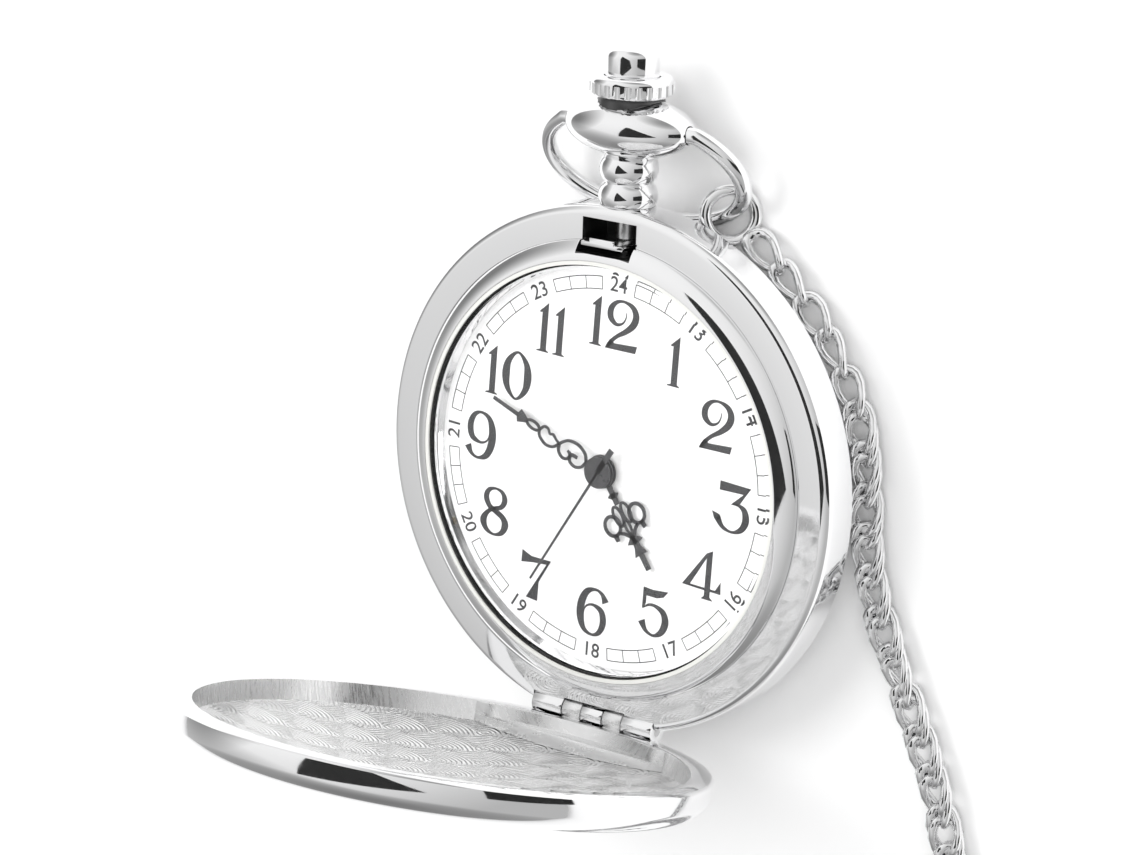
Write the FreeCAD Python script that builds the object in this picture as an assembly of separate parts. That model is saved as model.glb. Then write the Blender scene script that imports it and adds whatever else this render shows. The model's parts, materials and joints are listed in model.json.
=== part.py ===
import FreeCAD, Part

import math
import os

# Pocket watch with a hinged front cover, lying on its back with the cover sprung open.
# Millimetres. The origin is the middle of the flat of the case back, +Z leaves through
# the crystal, +Y points to the pendant at twelve and +X to three o'clock.

# --- overall ---
CASE_R = 23.5               # outside radius of the case band
AXIS_Z = 6.1                # height of the pendant and stem axis
COVER_OPEN = 77.4           # degrees that the cover stands open, on its stop
RUN = 0.05                  # radial clearance of pins, arbors and holes
FIT = 0.02                  # gap between pieces that are seated on each other
GAP = 0.1                   # gap beside a piece that moves

# --- case band and back ---
BAND_Z0 = 4.4               # underside of the band, where the back closes on it
RIM_Z = 8.7                 # flat front rim
RIM_CORNER = 0.8            # rounding of the rim's outer corner
BAND_EDGE = 0.5             # chamfer at the band's back edge
BORE_R = 19.3               # through bore of the band
BEZEL_SEAT_R = 20.5
BEZEL_SEAT_Z = 7.9
BACK_SEAT_R = 21.6          # recess that takes the back's spigot
BACK_SEAT_DEPTH = 0.65
BACK_FLAT_R = 12.0
BACK_R = 22.3
BACK_WALL = 0.7
BACK_SPIGOT_W = 0.75
BACK_SPIGOT_H = 0.3
GASKET_T = 0.3

# --- bezel, crystal, dial ---
BEZEL_TOP_Z = 9.85
BEZEL_STEP = 0.3            # upright step between the flat rim and the slope
CRYSTAL_R = 18.4
CRYSTAL_EDGE_T = 0.95
CRYSTAL_RISE = 1.0          # dome height over the edge
CRYSTAL_T = 1.2
CRYSTAL_GASKET_T = 0.34
CRYSTAL_SEAT_W = 0.7
CRYSTAL_SEAT_Z = 8.86
DIAL_R = 19.0
DIAL_Z = 7.8                # upper face of the dial
DIAL_T = 0.4
DIAL_OPEN_R = 17.75         # what shows of the dial inside the sloping ring
DIAL_RING_R = 19.2
DIAL_RING_H = 0.6
DIAL_FOOT_R = 0.35
DIAL_FOOT_PLACE, DIAL_FOOT_DIR = 8.3, 52.0
HOLDER_Z0 = 4.2
HOLDER_RIM_W = 1.8
HOLDER_HUB_W = 1.4
HOLDER_WEB_T = 0.4
HOLDER_RIBS = 6
HOLDER_RIB_W = 1.2

# --- movement ---
MOVE_R = 9.7
MOVE_WALL = 0.6
PLATE_Z0, PLATE_T = 5.9, 0.6
BRIDGE_Z0, BRIDGE_T = 3.2, 0.5
WHEEL_T = 0.2
ARBOR_R = 0.2
CENTRE_BORE_R = 0.28
CENTRE_TUBE_R = 0.52
HOUR_TUBE_R = 0.85
SECOND_TEETH, SECOND_PINION = 40, 8
THIRD_TEETH, THIRD_PINION = 64, 8
CENTRE_TEETH, CANNON_TEETH = 60, 12
FIFTH_TEETH, FIFTH_PINION = 36, 8
ROTOR_PINION = 6
MINUTE_TEETH, MINUTE_PINION = 36, 10
HOUR_TEETH = 40
SETTING_TEETH = 24
THIRD_PLACE, THIRD_DIR = 3.6, -20.0       # distance from the centre and direction
FIFTH_PLACE, FIFTH_DIR = 3.6, 150.0
ROTOR_PLACE, ROTOR_DIR = 2.52, 95.0       # from the fifth wheel
MINUTE_PLACE, MINUTE_DIR = 3.0, 60.0
SETTING_DIR = 80.0                        # from the minute wheel
SECOND_Z, FIFTH_Z, THIRD_Z, CENTRE_Z = 4.4, 3.95, 4.9, 5.4
MOTION_Z, HOUR_Z = 6.72, 7.0
ROTOR_R, ROTOR_Z, ROTOR_H = 0.85, 4.55, 0.8
STATOR_Z, STATOR_T = 4.7, 0.3
STATOR_R = 2.0
COIL_X, COIL_R, COIL_L = -7.2, 1.0, 6.0
CORE_W, CORE_L = 0.8, 8.4
BATTERY_R, BATTERY_H = 2.9, 2.1
BATTERY_X, BATTERY_Y, BATTERY_Z = -1.5, -5.9, 2.6
STRAP_T, STRAP_W = 0.2, 1.6
CAN_R, CAN_L, CAN_X, CAN_Y, CAN_Z = 0.55, 4.4, 7.65, 0.7, 4.75
BOARD_T = 0.24
CHIP_R, CHIP_H = 1.3, 0.4
PILLARS = ((5.8, -5.2), (6.4, 4.2), (-5.7, -5.6))
PILLAR_R, SCREW_R, SCREW_HEAD_R, SCREW_HEAD_H, SCREW_L = 0.8, 0.3, 0.7, 0.28, 1.6

# --- hands: length, tail, thickness, underside ---
HOUR_LENGTH, MINUTE_LENGTH, SECOND_LENGTH, SECOND_TAIL = 9.5, 12.7, 13.0, 2.8
HOUR_AT, MINUTE_AT, SECOND_AT = 145.6, 291.3, 212.3    # degrees clockwise from twelve
HAND_T = 0.15
HOUR_HAND_Z, MINUTE_HAND_Z, SECOND_HAND_Z = 8.1, 8.4, 8.7
HAND_BAR_W = 0.42
HAND_LOOP_R, HAND_LOOP_W = 0.95, 0.3
SECOND_BAR_W = 0.2

# --- pendant, bow, crown ---
NECK_BEAD_R, NECK_WAIST_R, NECK_PITCH = 2.6, 2.1, 2.4
NECK_BEADS = 2
NECK_Y0 = 23.0
HEAD_Y = 30.2
HEAD_RX, HEAD_RY, HEAD_RZ = 6.4, 2.7, 3.9
COLLAR_R, COLLAR_TOP_Y = 2.9, 32.85
PENDANT_BORE_R = 1.3
PENDANT_SPIGOT_R = 1.7
TUBE_WALL = 0.3
TUBE_Y0 = 20.9
SPRING_SEAT_R, SPRING_SEAT_Y = 2.0, 29.8
BOW_WIRE_R = 0.75
BOW_RX, BOW_RY, BOW_MID = 10.17, 5.97, 4.39    # half width, half height, middle below the pivot
BOW_PIVOT_X = 4.9
BOW_FOLD = 31.1             # degrees below the case plane when the bow lies on the table
STEM_R, STEM_END_R, STEM_Y0 = 0.5, 0.25, 4.4
CROWN_R, CROWN_H, CROWN_Y0 = 3.65, 1.75, 32.95
CROWN_KNURLS, KNURL_R = 24, 0.28
CROWN_EDGE = 0.45
CROWN_WEB_T = 0.35
CROWN_HUB_R = 0.95
BUTTON_R, BUTTON_TOP_Y, BUTTON_EDGE = 2.35, 37.3, 1.0
BUTTON_Y0 = 34.15
PRONG_R, PRONG_PLACE = 0.25, 1.4
PLUNGER_BORE_R, PLUNGER_R = 0.62, 0.92
PLUNGER_FLANGE_R, PLUNGER_FLANGE_T, PLUNGER_TOP_Y = 1.75, 0.3, 32.28
PRESS = 0.6                 # travel of the button
PULL = 1.0                  # travel of the crown when it is drawn out
SPRING_WIRE, SPRING_R, SPRING_TURNS = 0.2, 1.45, 4
PINION_R, PINION_L, PINION_Y0 = 0.6, 1.0, 4.7
LEVER_Y, LEVER_T = 7.0, 0.25
GROOVE_R = 0.35

# --- latch ---
SLOT_W, SLOT_Y0, SLOT_Y1, SLOT_Z0 = 5.7, 19.35, 22.3, 5.15
LATCH_W, LATCH_T, LATCH_Y0 = 4.4, 0.4, 20.05
LATCH_TOP_Z = 9.8
LATCH_NOSE_L, LATCH_NOSE_T = 0.35, 0.4
CATCH_REACH, CATCH_W, CATCH_T = 0.3, 4.4, 0.4

# --- cover and its hinge ---
COVER_R = 23.2
COVER_WALL_R = 21.2         # inside radius of the cover's wall
COVER_LIFT = 0.05           # gap over the case rim when it is shut
COVER_WALL_H = 2.4
COVER_DOME_H = 2.5
COVER_SKIN = 0.7
COVER_INNER_H = 1.85        # depth of the engine-turned floor at its edge
HINGE_Y, HINGE_Z = -22.6, 8.0
BARREL_R = 1.1
PIN_R = 0.45
HINGE_L = 13.0
KNUCKLE_W, MIDDLE_KNUCKLE_W = 3.2, 2.2
KNUCKLE_GAP = 0.1
HINGE_SIDE = 0.08           # gap at each end of the hinge
HINGE_ROOM = 0.2            # gap round the barrels
BLOCK_CHORD = 18.5          # flat wall inside the cover, from the cover's middle
LIFT_W, LIFT_T, LIFT_Z0 = 5.4, 0.22, 6.9

# --- chain ---
RING_R, RING_WIRE_R = 2.2, 0.55
RING_TURN = 47.0            # degrees along the bow from its lowest point
RING_NORMAL = (0.6, 0.1, 0.79)
RING_SLIP = 0.4             # how far the ring is drawn outward on the wire
CHAIN_D = 3.2
CHAIN_ROUTE = (
    (10.1, 21.35), (14.8, 17.5), (18.6, 13.2), (21.4, 8.3), (22.8, 2.9), (22.9, -2.8),
    (24.2, -8.3), (26.5, -13.6), (29.1, -18.7), (31.4, -24.0), (33.2, -29.7),
    (34.4, -36.2), (35.0, -43.2), (35.0, -50.8), (34.5, -58.5),
)
COIL_START_R, COIL_TURNS = 21.0, 2.25
CHAIN_COIL_X, CHAIN_COIL_Y = 13.5, -58.5
END_RING_R, END_RING_WIRE_R = 2.2, 0.4
END_RING_X, END_RING_Y = 6.5, -65.5
CLASP_DIR = 45.0
CLASP_L, CLASP_T = 11.0, 1.8
CLASP_HOOK_R, CLASP_HOLE_R, CLASP_TAIL_R = 3.1, 1.7, 1.9
CLASP_EYE_R, CLASP_EYE_T, CLASP_EYE_Z = 1.35, 0.6, 0.9
CLASP_PIN_R, CLASP_LEVER_W, CLASP_LEVER_T = 0.35, 0.9, 0.8
CLASP_LEVER_X, CLASP_LEVER_Y = 3.4, 0.9

X_AXIS = FreeCAD.Vector(1, 0, 0)
Y_AXIS = FreeCAD.Vector(0, 1, 0)
Z_AXIS = FreeCAD.Vector(0, 0, 1)
COVER_PLANE = RIM_Z + COVER_LIFT
HINGE = FreeCAD.Vector(0, HINGE_Y, HINGE_Z)
BOW_PIVOT = FreeCAD.Vector(0, HEAD_Y, AXIS_Z)


def vec(x, y, z=0.0):
    return FreeCAD.Vector(x, y, z)


def cyl(radius, z0, z1, x=0.0, y=0.0):
    return Part.makeCylinder(radius, z1 - z0, vec(x, y, z0), Z_AXIS)


def cyl_x(radius, x0, x1, y, z):
    return Part.makeCylinder(radius, x1 - x0, vec(x0, y, z), X_AXIS)


def cyl_y(radius, y0, y1, x=0.0, z=AXIS_Z):
    return Part.makeCylinder(radius, y1 - y0, vec(x, y0, z), Y_AXIS)


def tube(outer, inner, z0, z1, x=0.0, y=0.0):
    return cyl(outer, z0, z1, x, y).cut(cyl(inner, z0 - 1, z1 + 1, x, y))


def box(x0, x1, y0, y1, z0, z1):
    return Part.makeBox(x1 - x0, y1 - y0, z1 - z0, vec(x0, y0, z0))


def wide_box(width, y0, y1, z0, z1):
    return box(-width / 2, width / 2, y0, y1, z0, z1)


def fuse(shapes):
    return shapes[0].multiFuse(list(shapes[1:])).removeSplitter()


def outline(steps):
    """Edges from (r, z) points; a step of two points is an arc through the first to the second."""
    edges = []
    here = steps[0]
    for step in list(steps[1:]) + [steps[0]]:
        if isinstance(step[0], tuple):
            ends = [vec(p[0], 0, p[1]) for p in (here, step[0], step[1])]
            edges.append(Part.Arc(*ends).toShape())
            here = step[1]
        elif math.dist(here, step) > 1e-9:
            edges.append(Part.makeLine(vec(here[0], 0, here[1]), vec(step[0], 0, step[1])))
            here = step
    return edges


def turned(steps):
    """A solid of revolution about Z from an (r, z) outline."""
    face = Part.Face(Part.Wire(outline(steps)))
    return face.revolve(vec(0, 0), Z_AXIS, 360)


def dome(start, crown):
    """Outline step of a spherical cap from start (r, z) to the axis at height crown."""
    rise = crown - start[1]
    radius = (start[0] ** 2 + rise ** 2) / (2 * rise)
    middle = start[0] / 2
    return (middle, crown - radius + math.sqrt(radius ** 2 - middle ** 2)), (0, crown)


def turned_y(steps):
    """A solid of revolution about the pendant axis from an (r, y) outline."""
    shape = turned(steps)
    shape.rotate(vec(0, 0), X_AXIS, -90)
    shape.translate(vec(0, 0, AXIS_Z))
    return shape


def polar(distance, degrees, x=0.0, y=0.0):
    angle = math.radians(degrees)
    return x + distance * math.cos(angle), y + distance * math.sin(angle)


# --- wheels ---

def module_for(distance, first, second):
    return 2.0 * distance / (first + second)


def gear(teeth, module, z0, x, y, phase=0.0, thickness=WHEEL_T):
    """A spur wheel with straight-sided teeth, the first tooth centred on phase (degrees)."""
    root = module * (teeth / 2 - 1.2)
    tip = module * (teeth / 2 + 0.85)
    pitch = 2 * math.pi / teeth
    points = []
    for i in range(teeth):
        middle = math.radians(phase) + i * pitch
        for radius, share in ((root, -0.21), (tip, -0.09), (tip, 0.09), (root, 0.21)):
            angle = middle + share * pitch
            points.append(vec(x + radius * math.cos(angle), y + radius * math.sin(angle), z0))
    points.append(points[0])
    return Part.Face(Part.makePolygon(points)).extrude(vec(0, 0, thickness))


def mesh_phase(phase, teeth, other_teeth, direction):
    """Phase of a wheel that meshes with one of the given phase, seen along direction."""
    return direction + 180 - (phase - direction) * teeth / other_teeth + 180.0 / other_teeth


THIRD_XY = polar(THIRD_PLACE, THIRD_DIR)
FIFTH_XY = polar(FIFTH_PLACE, FIFTH_DIR)
ROTOR_XY = polar(ROTOR_PLACE, ROTOR_DIR, *FIFTH_XY)
MINUTE_XY = polar(MINUTE_PLACE, MINUTE_DIR)
MINUTE_MODULE = module_for(MINUTE_PLACE, CANNON_TEETH, MINUTE_TEETH)
SETTING_PLACE = MINUTE_MODULE * (MINUTE_TEETH + SETTING_TEETH) / 2
SETTING_XY = polar(SETTING_PLACE, SETTING_DIR, *MINUTE_XY)
PLATE_TOP = PLATE_Z0 + PLATE_T
PIVOT_XY = (THIRD_XY, FIFTH_XY, ROTOR_XY, (0.0, 0.0))


def second_wheel():
    wheel = gear(SECOND_TEETH, module_for(FIFTH_PLACE, FIFTH_PINION, SECOND_TEETH), SECOND_Z, 0, 0)
    module = module_for(THIRD_PLACE, SECOND_PINION, THIRD_TEETH)
    pinion = gear(SECOND_PINION, module, SECOND_Z + WHEEL_T, 0, 0, 0, THIRD_Z + WHEEL_T - SECOND_Z)
    return fuse([wheel, pinion, cyl(ARBOR_R, BRIDGE_Z0, SECOND_HAND_Z + HAND_T)])


def third_wheel():
    x, y = THIRD_XY
    module = module_for(THIRD_PLACE, SECOND_PINION, THIRD_TEETH)
    phase = mesh_phase(0, SECOND_PINION, THIRD_TEETH, THIRD_DIR)
    wheel = gear(THIRD_TEETH, module, THIRD_Z, x, y, phase)
    module = module_for(THIRD_PLACE, THIRD_PINION, CENTRE_TEETH)
    pinion = gear(THIRD_PINION, module, THIRD_Z + WHEEL_T, x, y, 0, CENTRE_Z + WHEEL_T - THIRD_Z - WHEEL_T)
    return fuse([wheel, pinion, cyl(ARBOR_R, BRIDGE_Z0, PLATE_TOP - GAP, x, y)])


def centre_wheel():
    module = module_for(THIRD_PLACE, THIRD_PINION, CENTRE_TEETH)
    phase = mesh_phase(0, THIRD_PINION, CENTRE_TEETH, THIRD_DIR + 180)
    wheel = gear(CENTRE_TEETH, module, CENTRE_Z, 0, 0, phase)
    cannon = gear(CANNON_TEETH, MINUTE_MODULE, MOTION_Z, 0, 0)
    stem = cyl(CENTRE_TUBE_R, CENTRE_Z, MINUTE_HAND_Z + HAND_T)
    bore = cyl(CENTRE_BORE_R, CENTRE_Z - 1, MINUTE_HAND_Z + 1)
    return fuse([wheel, cannon, stem]).cut(bore)


def fifth_wheel():
    x, y = FIFTH_XY
    wheel = gear(FIFTH_TEETH, module_for(ROTOR_PLACE, ROTOR_PINION, FIFTH_TEETH), FIFTH_Z, x, y,
                 mesh_phase(0, ROTOR_PINION, FIFTH_TEETH, ROTOR_DIR + 180))
    pinion = gear(FIFTH_PINION, module_for(FIFTH_PLACE, FIFTH_PINION, SECOND_TEETH), FIFTH_Z + WHEEL_T, x, y,
                  mesh_phase(0, SECOND_TEETH, FIFTH_PINION, FIFTH_DIR), SECOND_Z - FIFTH_Z)
    return fuse([wheel, pinion, cyl(ARBOR_R, BRIDGE_Z0, PLATE_TOP - GAP, x, y)])


def rotor():
    x, y = ROTOR_XY
    pinion = gear(ROTOR_PINION, module_for(ROTOR_PLACE, ROTOR_PINION, FIFTH_TEETH), FIFTH_Z, x, y)
    magnet = cyl(ROTOR_R, ROTOR_Z, ROTOR_Z + ROTOR_H, x, y)
    return fuse([pinion, magnet, cyl(ARBOR_R, BRIDGE_Z0, PLATE_TOP - GAP, x, y)])


def minute_wheel():
    x, y = MINUTE_XY
    wheel = gear(MINUTE_TEETH, MINUTE_MODULE, MOTION_Z, x, y,
                 mesh_phase(0, CANNON_TEETH, MINUTE_TEETH, MINUTE_DIR))
    pinion = gear(MINUTE_PINION, module_for(MINUTE_PLACE, MINUTE_PINION, HOUR_TEETH), MOTION_Z + WHEEL_T,
                  x, y, 0, HOUR_Z - MOTION_Z)
    return fuse([wheel, pinion]).cut(cyl(ARBOR_R + RUN, 0, DIAL_Z, x, y))


def hour_wheel():
    module = module_for(MINUTE_PLACE, MINUTE_PINION, HOUR_TEETH)
    phase = mesh_phase(0, MINUTE_PINION, HOUR_TEETH, MINUTE_DIR + 180)
    wheel = gear(HOUR_TEETH, module, HOUR_Z, 0, 0, phase)
    pipe = cyl(HOUR_TUBE_R, HOUR_Z, HOUR_HAND_Z + HAND_T)
    return fuse([wheel, pipe]).cut(cyl(CENTRE_TUBE_R + RUN, 0, DIAL_Z + 1))


def setting_wheel():
    x, y = SETTING_XY
    phase = mesh_phase(0, CANNON_TEETH, MINUTE_TEETH, MINUTE_DIR)
    wheel = gear(SETTING_TEETH, MINUTE_MODULE, MOTION_Z, x, y,
                 mesh_phase(phase, MINUTE_TEETH, SETTING_TEETH, SETTING_DIR))
    return wheel.cut(cyl(ARBOR_R + RUN, 0, DIAL_Z, x, y))


# --- fixed pieces of the movement ---

def main_plate():
    plate = cyl(MOVE_R, PLATE_Z0, PLATE_TOP)
    wall = tube(MOVE_R, MOVE_R - MOVE_WALL, BRIDGE_Z0, PLATE_Z0)
    pillars = [cyl(PILLAR_R, BRIDGE_Z0 + BRIDGE_T, PLATE_Z0, x, y) for x, y in PILLARS]
    studs = [cyl(ARBOR_R, PLATE_TOP, HOUR_Z + WHEEL_T, x, y) for x, y in (MINUTE_XY, SETTING_XY)]
    body = fuse([plate, wall] + pillars + studs)
    cuts = [cyl_y(PINION_R + GAP, STEM_Y0 - GAP, MOVE_R + 1), lever_room()]
    cuts += [cyl(ARBOR_R + RUN, PLATE_Z0 - 1, PLATE_TOP + 1, x, y) for x, y in PIVOT_XY[:3]]
    cuts += [cyl(SCREW_R, BRIDGE_Z0, BRIDGE_Z0 + SCREW_L, x, y) for x, y in PILLARS]
    cuts += [cyl(DIAL_FOOT_R + RUN, PLATE_Z0 - 1, PLATE_TOP + 1, x, y) for x, y in dial_feet()]
    cuts.append(cyl(CENTRE_TUBE_R + RUN, PLATE_Z0 - 1, PLATE_TOP + 1))
    return body.cut(cuts)


def train_bridge():
    plate = cyl(MOVE_R - MOVE_WALL - FIT, BRIDGE_Z0, BRIDGE_Z0 + BRIDGE_T)
    cuts = [cyl(BATTERY_R + GAP, 0, RIM_Z, BATTERY_X, BATTERY_Y)]
    cuts += [cyl(ARBOR_R + RUN, 0, RIM_Z, x, y) for x, y in PIVOT_XY]
    cuts += [cyl(SCREW_R + FIT, 0, RIM_Z, x, y) for x, y in PILLARS]
    half = COIL_L / 2 + 0.3
    cuts.append(box(-MOVE_R, COIL_X + COIL_R + 0.2, -half, half, 0, RIM_Z))
    return plate.cut(cuts)


def bridge_screw(x, y):
    head = cyl(SCREW_HEAD_R, BRIDGE_Z0 - SCREW_HEAD_H, BRIDGE_Z0, x, y)
    shank = cyl(SCREW_R, BRIDGE_Z0, BRIDGE_Z0 + SCREW_L, x, y)
    slot = box(x - 1, x + 1, y - 0.08, y + 0.08, BRIDGE_Z0 - 1, BRIDGE_Z0 - SCREW_HEAD_H / 2)
    return head.fuse(shank).removeSplitter().cut(slot)


def bridge_screws():
    return Part.makeCompound([bridge_screw(x, y) for x, y in PILLARS])


def circuit_board():
    plate = cyl(MOVE_R - MOVE_WALL - GAP, BRIDGE_Z0 - BOARD_T, BRIDGE_Z0)
    cuts = [cyl(BATTERY_R + GAP, 0, RIM_Z, BATTERY_X, BATTERY_Y)]
    cuts += [cyl(SCREW_HEAD_R + GAP, 0, RIM_Z, x, y) for x, y in PILLARS]
    cuts += [cyl(ARBOR_R + GAP, 0, RIM_Z, x, y) for x, y in PIVOT_XY]
    cuts.append(box(1.2, MOVE_R, -MOVE_R, MOVE_R, 0, RIM_Z))
    cuts.append(box(BATTERY_X, MOVE_R, -MOVE_R, BATTERY_Y, 0, RIM_Z))
    return plate.cut(cuts)


def chip():
    x, y = polar(MOVE_R / 2, 205)
    return cyl(CHIP_R, BRIDGE_Z0 - BOARD_T - CHIP_H, BRIDGE_Z0 - BOARD_T, x, y)


def stator():
    x, y = ROTOR_XY
    end = CORE_L / 2
    arm = CORE_W + 0.1
    z1 = STATOR_Z + STATOR_T
    shape = fuse([
        cyl(STATOR_R, STATOR_Z, z1, x, y),
        box(COIL_X - arm / 2, x, end - arm, end, STATOR_Z, z1),
        box(COIL_X - arm / 2, x - STATOR_R + arm, -end, -end + arm, STATOR_Z, z1),
        box(x - STATOR_R, x - STATOR_R + arm, -end, y, STATOR_Z, z1),
    ])
    return shape.cut(cyl(ROTOR_R + 0.2, 0, RIM_Z, x, y))


def coil_core():
    z0 = STATOR_Z - CORE_W
    return box(COIL_X - CORE_W / 2, COIL_X + CORE_W / 2, -CORE_L / 2, CORE_L / 2, z0, STATOR_Z)


def coil_winding():
    z = STATOR_Z - CORE_W / 2
    winding = cyl_y(COIL_R, -COIL_L / 2, COIL_L / 2, COIL_X, z)
    cheeks = [cyl_y(COIL_R + 0.1, s * COIL_L / 2 - 0.15, s * COIL_L / 2 + 0.15, COIL_X, z) for s in (-1, 1)]
    plates = box(COIL_X - 2, COIL_X + 2, -CORE_L, CORE_L, STATOR_Z - FIT, RIM_Z)
    return fuse([winding] + cheeks).cut([coil_core(), plates])


def battery():
    can = cyl(BATTERY_R, BATTERY_Z, BATTERY_Z + BATTERY_H * 0.8, BATTERY_X, BATTERY_Y)
    cap = cyl(BATTERY_R * 0.85, BATTERY_Z, BATTERY_Z + BATTERY_H, BATTERY_X, BATTERY_Y)
    return can.fuse(cap).removeSplitter()


def battery_strap():
    z1 = BATTERY_Z
    reach = BATTERY_R + 1.0
    flat = box(BATTERY_X - STRAP_W / 2, BATTERY_X + STRAP_W / 2, BATTERY_Y - BATTERY_R, BATTERY_Y + reach,
               z1 - STRAP_T, z1)
    foot = box(BATTERY_X - STRAP_W / 2, BATTERY_X + STRAP_W / 2, BATTERY_Y + reach - STRAP_T,
               BATTERY_Y + reach, z1 - STRAP_T, BRIDGE_Z0 - BOARD_T)
    return flat.fuse(foot).removeSplitter()


def quartz_can():
    return cyl_y(CAN_R, CAN_Y - CAN_L / 2, CAN_Y + CAN_L / 2, CAN_X, CAN_Z)


# --- dial side ---

def dial_feet():
    return [polar(DIAL_FOOT_PLACE, DIAL_FOOT_DIR + half) for half in (0, 180)]


def dial():
    plate = cyl(DIAL_R, DIAL_Z - DIAL_T, DIAL_Z)
    feet = [cyl(DIAL_FOOT_R, PLATE_Z0, DIAL_Z - DIAL_T, x, y) for x, y in dial_feet()]
    return fuse([plate] + feet).cut(cyl(HOUR_TUBE_R + GAP, 0, RIM_Z + 1))


def dial_ring():
    """The sloping ring between the dial and the bezel's seat."""
    top = DIAL_Z + DIAL_RING_H
    return turned([(DIAL_OPEN_R, DIAL_Z), (DIAL_RING_R, DIAL_Z), (DIAL_RING_R, top), (DIAL_OPEN_R + 0.35, top)])


def movement_holder():
    top = DIAL_Z - DIAL_T
    rim = tube(DIAL_RING_R, DIAL_RING_R - HOLDER_RIM_W, HOLDER_Z0, top)
    hub = tube(MOVE_R + FIT + HOLDER_HUB_W, MOVE_R + FIT, HOLDER_Z0, top)
    web = tube(DIAL_RING_R - 0.5, MOVE_R + FIT + 0.5, top - HOLDER_WEB_T, top)
    ribs = []
    for i in range(HOLDER_RIBS):
        rib = box(MOVE_R + 0.5, DIAL_RING_R - 0.5, -HOLDER_RIB_W / 2, HOLDER_RIB_W / 2, HOLDER_Z0, top)
        rib.rotate(vec(0, 0), Z_AXIS, 360.0 / HOLDER_RIBS * i)
        ribs.append(rib)
    body = fuse([rim, hub, web] + ribs)
    return body.cut([cyl_y(PLUNGER_R + GAP, MOVE_R - 1, BORE_R + 1), cyl(MOVE_R + FIT, 0, RIM_Z)])


# --- case ---

def slot_cutter(z0=SLOT_Z0):
    return wide_box(SLOT_W, SLOT_Y0, SLOT_Y1, z0, RIM_Z + 5)


def barrel_room(extra=0.0):
    half = HINGE_L / 2 + HINGE_SIDE + extra
    return cyl_x(BARREL_R + HINGE_ROOM + extra, -half, half, HINGE_Y, HINGE_Z)


def hinge_base():
    """Block that fills the notch in the band, under the barrels."""
    block = wide_box(HINGE_L, HINGE_Y, -BEZEL_SEAT_R - 0.7, HINGE_Z - BARREL_R - 0.5, RIM_Z - GAP)
    return block.common(cyl(CASE_R - 0.3, 0, RIM_Z))


def band_blank():
    corner = RIM_CORNER
    k = corner * (1 - math.sqrt(0.5))
    return turned([
        (BORE_R, BAND_Z0), (CASE_R - BAND_EDGE, BAND_Z0), (CASE_R, BAND_Z0 + BAND_EDGE),
        (CASE_R, RIM_Z - corner), ((CASE_R - k, RIM_Z - k), (CASE_R - corner, RIM_Z)),
        (BORE_R, RIM_Z),
    ])


def case_band():
    cuts = [
        cyl(BEZEL_SEAT_R, BEZEL_SEAT_Z, RIM_Z + 1),
        cyl(BACK_SEAT_R, BAND_Z0 - 1, BAND_Z0 + BACK_SEAT_DEPTH),
        slot_cutter(),
        barrel_room(FIT),
        hinge_base(),
        cyl_y(PENDANT_SPIGOT_R, SLOT_Y1, CASE_R + 1),
        cyl_y(PLUNGER_R + GAP, BORE_R - 1, SLOT_Y0 + 1),
        lift_room(),
    ]
    return band_blank().cut(cuts)


def case_back():
    spigot_out = BACK_SEAT_R - FIT
    spigot_in = spigot_out - BACK_SPIGOT_W
    top = BAND_Z0 + BACK_SPIGOT_H
    return turned([
        (0, 0), (BACK_FLAT_R, 0), ((18.2, 1.6), (BACK_R, BAND_Z0)),
        (spigot_out, BAND_Z0), (spigot_out, top), (spigot_in, top), (spigot_in, BAND_Z0 + 0.2),
        ((17.5, 2.25), (BACK_FLAT_R - 0.2, BACK_WALL)), (0, BACK_WALL),
    ])


def back_gasket():
    top = BAND_Z0 + BACK_SEAT_DEPTH
    return tube(BACK_SEAT_R - FIT, BACK_SEAT_R - BACK_SPIGOT_W, top - GASKET_T, top)


def bezel():
    inner = CRYSTAL_R + FIT + CRYSTAL_GASKET_T + FIT
    outer = BEZEL_SEAT_R - FIT
    seat = DIAL_Z + DIAL_RING_H + FIT
    shape = turned([
        (DIAL_RING_R + FIT, BEZEL_SEAT_Z), (outer, BEZEL_SEAT_Z), (outer, RIM_Z + BEZEL_STEP),
        ((0.5 * (outer + inner) + 0.1, 0.5 * (RIM_Z + BEZEL_STEP + BEZEL_TOP_Z) + 0.14), (inner, BEZEL_TOP_Z)),
        (inner, CRYSTAL_SEAT_Z), (inner - CRYSTAL_SEAT_W, CRYSTAL_SEAT_Z), (inner - CRYSTAL_SEAT_W, seat),
        (DIAL_RING_R + FIT, seat),
    ])
    return shape.cut(slot_cutter(BEZEL_SEAT_Z - 1))


def crystal_gasket():
    return tube(CRYSTAL_R + FIT + CRYSTAL_GASKET_T, CRYSTAL_R + FIT, CRYSTAL_SEAT_Z, BEZEL_TOP_Z - 0.05)


def crystal():
    edge = CRYSTAL_SEAT_Z + CRYSTAL_EDGE_T
    top = edge + CRYSTAL_RISE
    low = top - CRYSTAL_T
    inner = CRYSTAL_R - 0.9
    shoulder = (CRYSTAL_R - 0.35, edge)
    body = turned([
        (0, CRYSTAL_SEAT_Z), (CRYSTAL_R, CRYSTAL_SEAT_Z), (CRYSTAL_R, edge - 0.15), shoulder,
        dome(shoulder, top),
    ])
    floor = (inner, CRYSTAL_SEAT_Z - 0.01)
    return body.cut(turned([(0, floor[1]), floor, dome(floor, low)]))


# --- hinge and cover, built shut and then swung open ---

def opened(shape):
    shape.rotate(HINGE, X_AXIS, COVER_OPEN)
    return shape


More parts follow.
